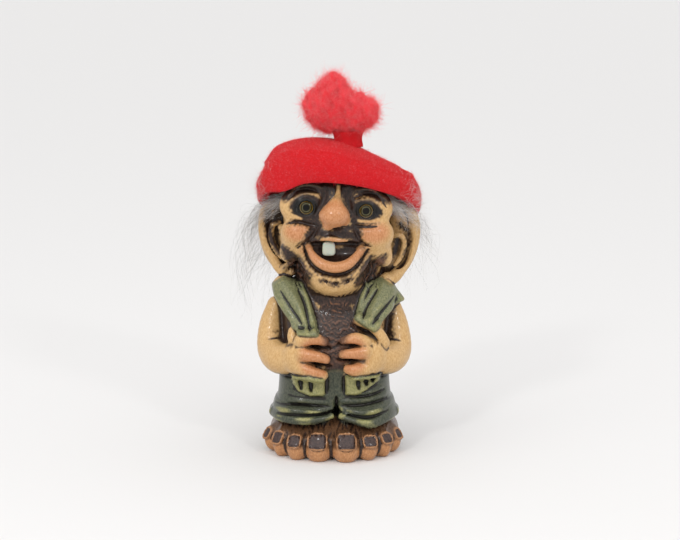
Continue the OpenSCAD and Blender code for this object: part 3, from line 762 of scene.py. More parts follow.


# Where the decorator's brown wash is left thick, which is partly painted shade in these recesses: forehead
# under the hat, sockets, beside the nose, above the lip, inside the mouth, under the chin, in the ears, on
# the open chest, and between arms, body and fingers
DARK = [dab([(-18.6, 104.6), (-9, 107.2), (1, 108.5), (10, 107.2), (20.6, 103.4)], 2.8, -4),
        dab([(-16.4, 99.6), (-14.4, 102.2), (-10.5, 103.6), (-6.4, 102.0)], [1.2, 1.9, 2.0, 2.2], -8),
        dab([(-15.8, 97.6), (-11.0, 96.6), (-5.8, 97.4)], [0.8, 2.2, 2.4], -8),
        dab([(6.8, 100.6), (11.0, 102.0), (15.4, 101.0), (18.2, 97.6)], [2.2, 1.9, 1.7, 1.1], -8),
        dab([(7.4, 97.0), (12.5, 95.8), (17.2, 96.2)], [2.0, 1.8, 0.9], -8),
        dab([(-2.6, 107.5), (-3.8, 103.8), (-6.2, 99.5), (-7.2, 95.0), (-7.4, 91.5)],
            [2.8, 2.6, 2.0, 2.2, 2.6], -8),
        dab([(5.0, 107.5), (5.6, 103.6), (7.2, 98.5), (8.0, 94.0), (8.4, 89.5)], [2.8, 2.6, 1.8, 1.8, 1.9],
            -8),
        dab([(-17.4, 93.6), (-13.5, 94.6), (-9.5, 94.0), (-6.5, 92.8)], [0.7, 1.3, 2.1, 2.5], -6),
        dab([(8.4, 94.0), (12.4, 93.5), (17.0, 94.0)], [1.3, 0.6, 0.4], -6),
        dab([(-7.0, 90.6), (-3.5, 89.9), (1, 89.7), (5, 89.5), (8.6, 88.8)], [2.2, 1.9, 1.9, 1.9, 2.2], -8),
        dab([(-9.2, 87.6), (-6.4, 86.8)], 1.5, -8), dab([(6.4, 86.8), (9.2, 86.9)], 1.3, -8),
        dab([(-3.0, 92.2), (1.6, 92.8), (5.0, 92.6)], 1.1, -8),
        dab([(0.6, 91.6), (4.4, 91.5), (7.4, 92.2)], 1.5, -8),
        dab([(-7.0, 85.4), (0.0, 85.8), (7.4, 85.3)], 1.2, -4, -20.6),
        dab([(-17.6, 82.2), (-14.6, 78.0), (-12.4, 74.2), (-11.2, 70.4)], [1.2, 1.9, 1.9, 1.9], 2),
        dab([(14.8, 80.4), (13.2, 78.0), (11.9, 74.4), (9.8, 69.8)], [0.9, 1.6, 2.1, 2.0], 2),
        dab([(-7.4, 90.6), (-9.4, 88.0), (-10.4, 86.2), (-14.0, 85.0)], [2.5, 2.3, 1.8, 0.5], -6),
        dab([(8.8, 91.0), (9.4, 88.0), (10.6, 85.8), (14.0, 85.4)], [1.9, 1.6, 1.0, 0.4], -6),
        dab([(-11.6, 85.4), (-9.8, 79.0), (-6.0, 75.2), (0.2, 73.6), (5.8, 74.8), (9.8, 78.2),
             (13.0, 83.0)],
            [0.9, 1.2, 1.4, 1.5, 1.4, 1.1, 0.6], -4),
        dab([(-4.9, 71.4), (-3.2, 71.1)], 0.8, -4), dab([(-1.0, 70.3), (1.0, 70.1)], 1.1, -4),
        dab([(3.6, 71.0), (6.4, 72.2)], 1.0, -4), dab([(-10.4, 74.4), (-8.8, 73.4)], 1.0, -4),
        dab([(-19.8, 83.4), (-16.8, 79.8), (-14.0, 76.2), (-12.4, 71.2)], [1.6, 2.6, 3.1, 3.5], 4),
        dab([(19.8, 80.6), (17.6, 78.0), (14.8, 75.8), (12.6, 71.2)], [1.0, 2.0, 3.4, 4.0], 4),
        dab([(-13, 66), (0.5, 61.5), (14, 66)], 2.6, 2),
        dab([(-7.2, 84.0), (-3.4, 81.0), (0.4, 80.4), (4.4, 81.0), (8.2, 84.0)], 3.3, -4, -19.6),
        dab([(-12.5, 68.0), (-10.0, 62.5), (-7.8, 56.0)], [2.0, 1.2, 0.8], 2),
        dab([(13.0, 68.0), (10.6, 63.0), (8.4, 57.0)], [2.0, 1.2, 0.8], 2),
        dab([(-16.0, 33.6), (-10.0, 34.2), (-3.6, 33.6)], 1.0, -6),
        dab([(4.6, 33.6), (10.0, 34.2), (18.0, 33.6)], 1.0, -6),
        dab([(-25.8, 95.4), (-26.0, 90), (-24.2, 84.2), (-21.6, 79.8)], [1.5, 1.6, 1.5, 1.1], 6, -6.5),
        dab([(-22.6, 95.5), (-23.0, 93.2)], 1.9, 6, -6.5),
        dab([(-22.4, 88.4), (-22.2, 86.8)], 0.8, 6, -6.5),
        dab([(-18.6, 77.4), (-17.4, 74.4)], 1.0, 6, -6.5),
        dab([(-20.8, 77.0), (-19.4, 73.2)], 0.6, 6, -6.5),
        dab([(21.6, 90.5), (20.8, 86.0), (20.2, 81.0), (20.4, 77.6)], [1.2, 1.5, 1.9, 1.6], 6, -6.5),
        dab([(25.0, 84.6), (24.4, 80.8), (22.8, 77.8)], [1.4, 1.6, 1.2], 6, -6.5),
        dab([(26.0, 90.5), (29.0, 88.0), (29.4, 83.0), (27.4, 77.6)], [1.2, 1.1, 1.0, 0.7], 6, -6.5),
        egg((0.6, -14, 50), (9.4, 12, 14.0)), egg((0.4, -15, 39), (4.6, 10, 11)),
        dab([(-20.5, 57.0), (-18.8, 53.0), (-17.8, 48.4), (-19.4, 46.6)], [0.8, 2.2, 2.6, 1.2], 2),
        dab([(-23.6, 48.4), (-20.0, 48.6)], [0.4, 1.0], 2),
        dab([(23.2, 57.0), (21.6, 53.4), (21.4, 49.0), (23.4, 46.4)], [0.8, 2.2, 2.0, 0.8], 2),
        dab([(-12.6, 46.8), (-7.0, 45.4), (-2.0, 44.6)], [0.3, 0.9, 1.2], -10),
        dab([(-11.4, 39.6), (-6.5, 38.8), (-2.0, 37.8)], [0.3, 0.8, 1.1], -10),
        dab([(11.0, 46.6), (6.5, 46.6), (2.0, 46.2)], [0.3, 0.8, 1.2], -10),
        dab([(9.6, 40.8), (6.0, 40.4), (2.0, 40.4)], [0.4, 1.2, 1.6], -10),
        dab([(8.6, 53.4), (13.0, 50.9), (17.0, 47.2)], [0.3, 0.9, 0.4], -6)]
# Where the wash is wiped off again: lower lids, lips, nose and its bridge, fingers and thumbs.
# The lids and brows that stand up are wiped by the lids mask further down.
WIPED = [dab([(-18.4, 96.9), (-16.0, 96.4), (-12.8, 95.5)], [1.0, 0.7, 0.35], -6),
         dab([(9.6, 94.7), (14.0, 94.4), (17.6, 94.9)], [0.35, 0.4, 0.6], -6),
         rope(LIP, [1.2, 1.9, 2.4, 2.5, 2.4, 1.9, 1.2]),
         dab([(-4.4, 87.1), (-2.0, 87.8), (1.6, 87.5), (4.4, 87.0)], [0.4, 0.75, 0.7, 0.4], -8),
         egg((0.2, -25.6, 98.1), (6.4, 7.2, 5.4)), egg((-2.3, -25.2, 93.5), (2.5, 3.2, 2.3)),
         egg((4.3, -23.8, 95.6), (2.3, 3.4, 2.6)),
         dab([(1.7, 108.0), (1.6, 105.5), (1.0, 102.0)], [0.6, 0.8, 2.4], -12)]
WIPED += [rope(finger, [3.3, 3.0, 2.6]) for hand in HANDS for finger in hand[2]]
WIPED += [rope(hand[3], [r + 0.6 for r in hand[4]]) for hand in HANDS]
# Warmer flesh on the nose, lips, cheeks and fingers, and brown hair on the chest and neck
BLUSH = [egg((0.2, -26, 97.4), (7.5, 7, 6.8)), dab([(-4.4, 87.1), (0, 87.7), (4.4, 87.0)], 1.2, -8),
         egg((-13.0, -17, 90.4), (6.6, 8, 4.6)), egg((14.6, -17, 90.0), (7.0, 8, 4.8)), rope(LIP, 3.6),
         egg((-7.0, -23, 42), (7, 6, 9.5)), egg((7.4, -23, 43), (6, 6, 9.0))]
CHEST = [egg((0.6, -16, 50), (10, 10, 15)), dab([(-15, 76), (-11, 68)], 3.5, 2),
         dab([(16.5, 78), (12, 68)], 4.0, 2)]
brushed_edge = 0.5 * np.sin(x * 1.7 + 2.1 * np.sin(z * 0.9)) * np.sin(z * 2.1 + 1.7 * np.sin(x * 1.1 + y))
brushed_edge += 0.25 * np.sin(3.7 * x - 2.9 * z)
wiped = within(WIPED, 0.5)


def standing(lines):
    """Share of each point that lies on raised lines of the face."""
    return within([dab(line, 0.3, -4) for line in lines], 0.5) * between(-fine_hollow, -0.02, 0.03)


lids = np.maximum(standing(LIDS), 0.6 * standing(BROWS))
# Painted shade: near-black deep in the eye sockets round the glass, kept off the raised lids.
SOCKETS = [dab([(-15.4, 98.3), (-12.2, 99.9), (-9.2, 100.0)], [0.7, 3.5, 3.2], -8),
           dab([(10.6, 99.0), (13.4, 98.5), (17.2, 98.0)], [2.9, 3.3, 1.2], -8)]
socket_shade = within(SOCKETS, 0.7) * (1 - 0.8 * lids)
wash_and_shade = within(DARK, 1.25)
ragged = np.clip(wash_and_shade + 0.5 * brushed_edge * wash_and_shade * (1 - wash_and_shade) * 4, 0, 1)
ragged = ragged * (1 - wiped) * (1 - 0.55 * lids)
# The dark coat: the brown wash, and painted shade in the hollows and recesses.
flesh_sunk = np.maximum(sunk * (1 - 0.5 * wiped), 0.8 * pooled_wash_and_shade * (1 - wiped))
umber_and_shade = np.clip(np.maximum(flesh_sunk, ragged), 0, 1)
# The pads of the toes stay clear of the wash, and the rims of their nails partly so; painted shade still
# darkens their fine hollows
toe_front = np.zeros(len(points))
for (middle, half, turn, wide, tall), plate in zip(TOES, nails):
    ball = egg((middle[0] * 1.02, middle[1] - 2.0, middle[2] - 2.8),
               (half[0] * 1.05, half[1], half[2] * 0.68), (0, 0, -turn))
    low, high, dist = plate
    reach = np.all((points > low - 2) & (points < high + 2), axis=1)
    rim = np.zeros(len(points))
    rim[reach] = np.exp(-((dist(x[reach], y[reach], z[reach]) - 0.5) / 0.55) ** 2)
    toe_front = np.maximum(toe_front, np.maximum(within([ball], 1.0), 0.5 * rim))
umber_and_shade = np.where(feet > 0.5, np.maximum(0.72 * (1 - toe_front), 0.9 * sunk), umber_and_shade)
# Below the waistcoat all is trousers, which also show where it hangs open in front
waist = (1 - between(z, 32.0, 34.5)) * (1 - vest) * (1 - feet)
trousers = np.maximum(trousers, waist)
open_front = within([dab([(0.6, 34), (0.6, 25)], 3.0, -6)], 1.0)
trousers = np.maximum(trousers, open_front * (1 - between(z, 34, 37)))
vest = vest * (1 - open_front)
blush = within(BLUSH, 2.0) * (1 - 0.6 * umber_and_shade)
hair_brown = within(CHEST, 2.0) * between(-fine_hollow, -0.03, 0.05)
# Olive on the raised folds and hems, in patches, is partly dry-brushed paint and partly painted highlight;
# there is a touch of copper at the throat
hem_glow = np.exp(-((z - 17.2) / 3.4) ** 2)
tabs = vest * (1 - between(z, 33.4, 34.6)) * (1 - between(y, -8, -4))
cloth_raised = between(-fine_hollow, 0.02, 0.10) * (vest * 0.6 + trousers * (0.25 + 0.6 * hem_glow))
patchy = np.clip(0.55 + 0.6 * np.sin(0.52 * x + 1.1 * np.sin(0.9 * z) + 0.6), 0.1, 1)
cloth_raised = np.maximum(cloth_raised * patchy, 0.85 * tabs)
throat = within([egg((1.2, -18, 61.5), (4.5, 8, 5.0))], 2.5)
# Painted shade, over the dark wash: near-black in the cloth's creases and hollows and in the notches of the
# hem band.
notch_wash_and_shade = within([dab(notch, 0.75, -6) for notch in NOTCHES], 0.4) * vest
groove = np.maximum(np.maximum(sunk, 0.5 * pooled_wash_and_shade), notch_wash_and_shade)
COATS = {"umber_and_shade": umber_and_shade, "vest": vest, "trousers": trousers, "toe_skin": feet, "nail": nail, "blush": blush,
         "socket_shade": socket_shade, "ridge": cloth_raised, "groove": groove, "hair_brown": hair_brown,
         "copper": throat * between(-fine_hollow, 0.0, 0.05)}
for name, share in COATS.items():
    layer = casting.data.attributes.new(name, "FLOAT", "POINT")
    layer.data.foreach_set("value", np.ascontiguousarray(share, np.float32))

# Oil-painted latex composition under satin lacquer: flesh tan, dark brown in the hollows that is partly the
# wiped wash and partly painted shade, sage and bottle-green cloth with olive on the folds that is partly
# dry-brushed and partly painted highlight, near-black painted shade in the creases and sockets, and a soft
# even gleam.
paintwork, shader = new_material("oil_painted_latex_composition")
paint_noise = node(paintwork, "TexNoise", {"Scale": 320.0, "Detail": 5.0, "Roughness": 0.6})
blotch = node(paintwork, "TexNoise", {"Scale": 110.0, "Detail": 3.0})


def coat(under, colour, mask, low=0.0, high=1.0, wobble=0.25):
    """Lay a colour over what is under it, where a painted mask says, with a brushed edge."""
    share = node(paintwork, "Attribute", attribute_name=mask)
    edge = node(paintwork, "Math", {1: wobble, 2: -wobble / 2}, {0: paint_noise.outputs["Fac"]},
                operation="MULTIPLY_ADD")
    body = node(paintwork, "Math", links={0: share.outputs["Fac"], 1: edge.outputs[0]}, operation="ADD")
    cover = node(paintwork, "MapRange", {1: 0.5 * wobble + low, 2: high - 0.5 * wobble},
                 {0: body.outputs[0]},
                 interpolation_type="SMOOTHSTEP")
    mixed = node(paintwork, "Mix", links={0: cover.outputs[0], 6: under}, data_type="RGBA")
    if isinstance(colour, str):
        mixed.inputs[7].default_value = linear(colour)
    else:
        paintwork.node_tree.links.new(colour, mixed.inputs[7])
    return mixed.outputs[2]


def two_tone(first, second):
    """Two near shades of one paint, mottled together."""
    tone = node(paintwork, "ValToRGB", links={0: blotch.outputs["Fac"]})
    stops(tone, (0.38, linear(first)), (0.62, linear(second)))
    return tone.outputs["Color"]


on_vest = node(paintwork, "Attribute", attribute_name="vest").outputs["Fac"]
on_trousers = node(paintwork, "Attribute", attribute_name="trousers").outputs["Fac"]
on_cloth = node(paintwork, "Math", links={0: on_vest, 1: on_trousers}, operation="MAXIMUM").outputs[0]
flesh = coat(two_tone("#BD9560", "#CDA976"), two_tone("#AF754A", "#C18960"), "blush", 0.0, 1.15)
flesh = coat(flesh, two_tone("#A8754C", "#C08C60"), "toe_skin")
# Dark brown over the flesh: the wash, and painted shade in hollows and recesses
flesh = coat(flesh, two_tone("#1C110D", "#3B2921"), "umber_and_shade", -0.05, 1.1, 0.3)
flesh = coat(flesh, two_tone("#54392C", "#6B4A39"), "hair_brown", 0.1, 1.2)
flesh = coat(flesh, "#85552E", "copper", 0.15, 1.3)
# Near-black painted shade in the eye sockets
flesh = coat(flesh, "#0E0B09", "socket_shade", 0.0, 1.0, 0.15)
cloth_paint = coat(two_tone("#626749", "#817F5C"), two_tone("#353B2F", "#505243"), "trousers")
# Olive on the raised cloth: partly dry-brushed paint, partly painted highlight
cloth_paint = coat(cloth_paint, two_tone("#7E7D50", "#9A9563"), "ridge", 0.0, 1.0, 0.25)
# Near-black in the creases: the dark wash and painted shade
cloth_paint = coat(cloth_paint, "#201E1A", "groove", 0.05, 1.1)
painted = node(paintwork, "Mix", links={0: on_cloth, 6: flesh, 7: cloth_paint}, data_type="RGBA")
colour = coat(painted.outputs[2], two_tone("#312422", "#453430"), "nail")
paintwork.node_tree.links.new(colour, shader.inputs["Base Color"])
brushed = node(paintwork, "Bump", {"Strength": 0.16, "Distance": 0.00025},
               {"Height": paint_noise.outputs["Fac"]})
paintwork.node_tree.links.new(brushed.outputs[0], shader.inputs["Normal"])
gleam = node(paintwork, "MapRange", {1: 0.3, 2: 0.7, 3: 0.30, 4: 0.46}, {0: blotch.outputs["Fac"]})
paintwork.node_tree.links.new(gleam.outputs[0], shader.inputs["Roughness"])
set_shader(shader, IOR=1.5, Specular_IOR_Level=0.22, Coat_Weight=0.28, Coat_Roughness=0.1)
casting.data.materials.append(paintwork)
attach(casting, "figure")
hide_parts("body_casting")


# ---------------------------------------------------------------------------
# Base plug: a disc of the same composition that closes the pour hole underneath,
# cut from sheet and glued in flush. It is left unpainted.
# ---------------------------------------------------------------------------
bare, shader = new_material("cast_latex_composition_unpainted")
# Chalky and matt, with fine pits left by the filler
plug_mottle = node(bare, "TexNoise", {"Scale": 260.0, "Detail": 4.0})
plug_tone = node(bare, "ValToRGB", links={0: plug_mottle.outputs["Fac"]})
stops(plug_tone, (0.35, linear("#8B6B4B")), (0.65, linear("#A88763")))
bare.node_tree.links.new(plug_tone.outputs["Color"], shader.inputs["Base Color"])
pits = node(bare, "Bump", {"Strength": 0.3, "Distance": 0.0002}, {"Height": plug_mottle.outputs["Fac"]})
bare.node_tree.links.new(pits.outputs[0], shader.inputs["Normal"])
set_shader(shader, Roughness=0.75, IOR=1.5)


def refinish(node_name, material):
    """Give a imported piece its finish."""
    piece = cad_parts[node_name]
    piece.data.materials.clear()
    piece.data.materials.append(material)


refinish("base_plug", bare)


# ---------------------------------------------------------------------------
# Eyes: stock 6 mm glass eyes. Each is a clear pressed dome with a flat back, an
# enamelled iris ring and pupil behind it, and an iron wire loop set in the head.
# ---------------------------------------------------------------------------
def turned(name, rings, close=False):
    """A skin over rings of points, each given inside to outside in millimetres."""
    rings = np.array(rings)
    count, around = rings.shape[:2]
    step = np.arange(around)
    ahead = (step + 1) % around
    faces = []
    for i in range(count if close else count - 1):
        here, there = i * around, (i + 1) % count * around
        faces += np.column_stack([here + step, here + ahead, there + ahead, there + step]).tolist()
    spots = rings.reshape(-1, 3).tolist()
    if not close:
        spots += [rings[0].mean(0).tolist(), rings[-1].mean(0).tolist()]
        last = (count - 1) * around
        faces += [(count * around, int(b), int(a)) for a, b in zip(step, ahead)]
        faces += [(count * around + 1, int(last + a), int(last + b)) for a, b in zip(step, ahead)]
    return mesh_object(name, (np.array(spots) * MM).tolist(), faces)


clear, shader = new_material("pressed_clear_glass")
# Fire-polished, so it is smooth and its highlights are small and sharp
set_shader(shader, Base_Color=linear("#FBFCF6"), Roughness=0.02, IOR=1.28, Transmission_Weight=1.0)
lacquer, shader = new_material("black_eye_enamel")
# Fired flat, nearly black, with a soft shine through the glass
enamel_noise = node(lacquer, "TexNoise", {"Scale": 2500.0, "Detail": 2.0})
enamel_tone = node(lacquer, "ValToRGB", links={0: enamel_noise.outputs["Fac"]})
stops(enamel_tone, (0.4, linear("#030303")), (0.7, linear("#070606")))
lacquer.node_tree.links.new(enamel_tone.outputs["Color"], shader.inputs["Base Color"])
set_shader(shader, Roughness=0.3, Specular_IOR_Level=0.0)
wire, shader = new_material("annealed_iron_wire")
# Drawn and annealed: dull dark grey with a brown scale
scale_noise = node(wire, "TexNoise", {"Scale": 1500.0, "Detail": 3.0})
scale_tone = node(wire, "ValToRGB", links={0: scale_noise.outputs["Fac"]})
stops(scale_tone, (0.4, linear("#4A4643")), (0.65, linear("#6B6259")))
wire.node_tree.links.new(scale_tone.outputs["Color"], shader.inputs["Base Color"])
set_shader(shader, Metallic=1.0, Roughness=0.5)
glass_sides = 48
lens_lap = 0.12
for side_name, (middle, back, radius) in zip(("left", "right"), eyes):
    glass_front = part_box(side_name + "_eye_glass")[0][1] / MM
    dome = back - glass_front
    rings = []
    for rise in np.linspace(1, 0, 14):
        across = radius * math.cos(rise * math.pi / 2 * 0.98)
        turn = np.linspace(0, 2 * math.pi, glass_sides, endpoint=False)
        rings.append(np.column_stack([middle[0] + across * np.cos(turn),
                                      np.full(glass_sides, back - dome * math.sin(rise * math.pi / 2)),
                                      middle[2] + across * np.sin(turn)]))
    # The glass laps a little over the edge of the enamel that is fused to its back
    rings.append(rings[-1] + [0, lens_lap, 0])
    lens = turned(side_name + "_glass_dome", rings)
    lens.data.materials.append(clear)
    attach(lens, "figure")
    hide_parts(side_name + "_eye_glass")
    iris, shader = new_material("fired_iris_enamel_" + side_name)
    # Olive and amber streaks run out from a pale line at the pupil to a gold line and a dark edge
    place = node(iris, "TexCoord")
    about = node(iris, "VectorMath", {1: tuple(np.array(middle) * MM)}, {0: place.outputs["Object"]},
                 operation="SUBTRACT")
    level = node(iris, "VectorMath", {1: (1, 0, 1)}, {0: about.outputs[0]}, operation="MULTIPLY")
    away = node(iris, "VectorMath", links={0: level.outputs[0]}, operation="LENGTH")
    streaks = node(iris, "TexNoise", {"Scale": 1800.0, "Detail": 3.0}, {"Vector": about.outputs[0]})
    shifted = node(iris, "Math", {1: 0.00025}, {0: streaks.outputs["Fac"], 2: away.outputs["Value"]},
                   operation="MULTIPLY_ADD")
    share = node(iris, "MapRange", {1: 0.00012, 2: radius * MM + 0.00012}, {0: shifted.outputs[0]})
    bands = node(iris, "ValToRGB", links={0: share.outputs[0]})
    stops(bands, (0.50, linear("#060504")), (0.56, linear("#8C8762")), (0.62, linear("#1E1908")),
          (0.74, linear("#2B230D")), (0.81, linear("#120E05")), (0.88, linear("#A08238")),
          (0.93, linear("#2A210C")), (0.98, linear("#070604")))
    iris.node_tree.links.new(bands.outputs["Color"], shader.inputs["Base Color"])
    set_shader(shader, Roughness=0.4, Specular_IOR_Level=0.0)
    refinish(side_name + "_eye_iris", iris)
    refinish(side_name + "_eye_pupil", lacquer)
    refinish(side_name + "_eye_loop", wire)


# ---------------------------------------------------------------------------
# Tooth: one rounded square of white clay under a thick glaze, fired by itself and
# pegged into the upper gum.
# ---------------------------------------------------------------------------
tooth_low, tooth_high = [np.array(corner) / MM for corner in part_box("tooth")]
tooth_mid = np.array([(tooth_low[0] + tooth_high[0]) / 2 - 0.2, tooth_low[1] + 1.1, tooth_low[2] + 2.8])
tooth_half = np.array([(tooth_high[0] - tooth_low[0]) / 2 + 0.05, 1.3, 2.85])
squareness = 0.55
tooth_sides = 48
rings = []
for rise in np.linspace(-0.98, 0.98, 25):
    lift = math.copysign(abs(math.sin(rise * math.pi / 2)) ** squareness, rise)
    across = abs(math.cos(rise * math.pi / 2)) ** squareness
    turn = np.linspace(0, 2 * math.pi, tooth_sides, endpoint=False)
    ring = np.column_stack([np.sign(np.cos(turn)) * np.abs(np.cos(turn)) ** squareness * across,
                            np.sign(np.sin(turn)) * np.abs(np.sin(turn)) ** squareness * across,
                            np.full(tooth_sides, lift)])
    ring[:, 0] *= 1 - 0.06 * lift
    rings.append(tooth_mid + tooth_half * ring)
peg = turned("glazed_tooth", rings)
glaze, shader = new_material("glazed_white_clay")
# A thick greenish-white glaze: glossy, slightly deep, thinner and warmer at the edges
tooth_cloud = node(glaze, "TexNoise", {"Scale": 420.0, "Detail": 2.0})
tooth_tone = node(glaze, "ValToRGB", links={0: tooth_cloud.outputs["Fac"]})
stops(tooth_tone, (0.35, linear("#A2A99B")), (0.65, linear("#C0C4B4")))
glaze.node_tree.links.new(tooth_tone.outputs["Color"], shader.inputs["Base Color"])
set_shader(shader, Roughness=0.15, IOR=1.52, Subsurface_Weight=0.3, Subsurface_Scale=0.001, Coat_Weight=0.5)
peg.data.materials.append(glaze)
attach(peg, "figure")
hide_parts("tooth")


# ---------------------------------------------------------------------------
# Fur strip and locks: a strip of long-haired grey sheepskin glued round the skull,
# open over the forehead. Its hair comes out under the felt, thin and windblown.
# ---------------------------------------------------------------------------
hide, shader = new_material("tanned_sheepskin")
# Buff suede, napped and matt
nap_noise = node(hide, "TexNoise", {"Scale": 700.0, "Detail": 4.0})
hide_tone = node(hide, "ValToRGB", links={0: nap_noise.outputs["Fac"]})
stops(hide_tone, (0.35, linear("#8F8577")), (0.65, linear("#B3A999")))
hide.node_tree.links.new(hide_tone.outputs["Color"], shader.inputs["Base Color"])
suede = node(hide, "Bump", {"Strength": 0.5, "Distance": 0.0003}, {"Height": nap_noise.outputs["Fac"]})
hide.node_tree.links.new(suede.outputs[0], shader.inputs["Normal"])
set_shader(shader, Roughness=0.9, Sheen_Weight=0.4)
refinish("fur_strip", hide)

wool_hair, shader = new_material("grey_sheep_wool_fibre")
# White, silver and charcoal hairs mixed: smooth scales give each a thin line of shine
hair_share = node(wool_hair, "Attribute", attribute_name="tone")
hair_tone = node(wool_hair, "ValToRGB", links={0: hair_share.outputs["Fac"]})
stops(hair_tone, (0.0, linear("#2C2828")), (0.3, linear("#5D5755")), (0.5, linear("#B5B0AC")),
      (0.75, linear("#DAD6D2")), (1.0, linear("#F4F1EE")))
wool_hair.node_tree.links.new(hair_tone.outputs["Color"], shader.inputs["Base Color"])
set_shader(shader, Roughness=0.45, IOR=1.55, Sheen_Weight=0.3)


def strands(name, paths, thick, tones, material):
    """Fine hairs as three-sided tapered tubes along paths (hair, step, XYZ) in millimetres."""
    count, steps = paths.shape[:2]
    along = np.gradient(paths, axis=1)
    along /= np.linalg.norm(along, axis=2, keepdims=True) + 1e-9
    across = np.cross(along, [0.31, 0.87, 0.39])
    across /= np.linalg.norm(across, axis=2, keepdims=True) + 1e-9
    other = np.cross(along, across)
    taper = np.linspace(1, 0.25, steps)[None, :, None] * (thick / 2)[:, None, None]
    edges = [paths + taper * (math.cos(a) * across + math.sin(a) * other) for a in (0, 2.094, 4.189)]
    spots = np.stack(edges, 2).reshape(-1, 3) * MM
    first = (np.arange(count)[:, None, None] * steps + np.arange(steps - 1)[None, :, None]) * 3
    corner = np.arange(3)[None, None, :]
    following = (corner + 1) % 3
    faces = np.stack([first + corner, first + following, first + 3 + following, first + 3 + corner], 3)
    faces = faces.reshape(-1, 4)
    mesh = bpy.data.meshes.new(name)
    mesh.vertices.add(len(spots))
    mesh.vertices.foreach_set("co", spots.astype(np.float32).ravel())
    mesh.loops.add(faces.size)
    mesh.loops.foreach_set("vertex_index", faces.astype(np.int32).ravel())
    mesh.polygons.add(len(faces))
    mesh.polygons.foreach_set("loop_start", np.arange(0, faces.size, 4, dtype=np.int32))
    mesh.update(calc_edges=True)
    mesh.shade_smooth()
    layer = mesh.attributes.new("tone", "FLOAT", "POINT")
    layer.data.foreach_set("value", np.repeat(tones, steps * 3).astype(np.float32))
    mesh.materials.append(material)
    made = bpy.data.objects.new(name, mesh)
    bpy.context.collection.objects.link(made)
    return made


def locks(guides, count, draws, spread, curl, keep, steps, shortest=0.16):
    """Hair paths that follow the given guides, fanned out, cut to mixed lengths and waved."""
    knots = 40
    runs = []
    for guide in guides:
        run = curve(guide, 8)
        reach = np.concatenate([[0], np.cumsum(np.linalg.norm(np.diff(run, axis=0), axis=1))])
        evenly = np.linspace(0, reach[-1], knots)
        runs.append(np.stack([np.interp(evenly, reach, run[:, k]) for k in range(3)], 1))
    runs = np.array(runs)
    pick = draws.random(count) * (len(runs) - 1)
    left = np.minimum(pick.astype(int), len(runs) - 2)
    part = (pick - left)[:, None, None]
    whole = runs[left] * (1 - part) + runs[left + 1] * part
    cut = shortest + (1 - shortest) * draws.random(count) ** keep
    at = np.linspace(0, 1, steps)[None, :] * cut[:, None] * (knots - 1)
    low = np.minimum(at.astype(int), knots - 2)
    rows = np.arange(count)[:, None]
    share = (at - low)[..., None]
    paths = whole[rows, low] * (1 - share) + whole[rows, low + 1] * share
    grown = (at / (knots - 1))[..., None]
    fan = draws.normal(0, 1, (count, 1, 3)) * spread
    phase, pace = draws.random((2, count, 1, 3)) * 6.28
    wave = np.sin(grown * (6 + 2.6 * pace) + phase) * curl * (0.3 + draws.random((count, 1, 1)))
    return (paths + fan * (0.25 + 0.75 * grown) * np.minimum(1, 0.3 + grown * 2.2)
            + wave * np.minimum(1, grown * 2.5))


LEFT_GUIDES = [[(-14.5, -10.5, 104.5), (-18.6, -13.0, 101.6), (-23.5, -12, 99.2), (-29, -9, 97.4),
                (-34, -7, 93.5), (-37, -6, 88)],
               [(-17.0, -6, 104.5), (-21.0, -8, 100.5), (-26, -7, 97.6), (-31, -5, 93.5), (-35, -4, 87),
                (-37, -3, 79)],
               [(-18.2, 0, 104.5), (-22.4, 0, 100), (-28, 1, 97.4), (-33.5, 2, 91), (-36.5, 2, 82),
                (-37, 1, 72), (-35.5, 0, 62)],
               [(-17.8, 8, 104.5), (-22, 10, 99), (-26, 11, 92), (-29.5, 11, 84), (-33.5, 8, 76),
                (-36, 6, 67), (-35.5, 4, 57),
                (-33, 2, 48)],
               [(-16, 13, 103.5), (-20, 15, 95), (-23, 13, 86), (-26, 10, 79), (-31, 7, 76), (-35.5, 5, 73),
                (-38, 4, 68)],
               [(-15, 15, 103.5), (-19, 17, 92), (-21.5, 14, 81), (-24, 10, 73.5), (-28, 7, 68),
                (-31, 5, 61), (-32, 4, 54)],
               [(-13, 17, 103.5), (-16, 20, 92), (-18.5, 19, 80), (-21, 17, 70), (-22, 15, 62),
                (-21.5, 14, 56)]]
RIGHT_GUIDES = [[(17.0, -10.5, 104), (20.6, -13, 100.4), (25.5, -12, 97.4), (31, -9, 95.2), (36, -7, 91),
                 (39, -6, 85)],
                [(19.4, -6, 104), (23.4, -8, 99), (28, -8, 95.8), (32.6, -6, 91.5), (36.6, -5, 85),
                 (38, -4, 78)],
                [(20.4, 0, 104), (24.6, 0, 98.4), (30, 1, 94.8), (35.6, 2, 89), (39, 2, 81), (39, 1, 72)],
                [(20, 8, 104), (24, 10, 98), (29, 11, 90), (33, 10, 82), (36, 8, 73), (36.5, 6, 65)],
                [(17, 15, 103.5), (22, 16, 93), (25.5, 14, 84), (28.5, 12, 75), (29.5, 11, 67),
                 (28, 10, 60)],
                [(15, 17, 103.5), (18.5, 20, 92), (21.5, 19, 80), (23.5, 17, 70), (24.5, 15, 62),
                 (23.5, 14, 56)]]
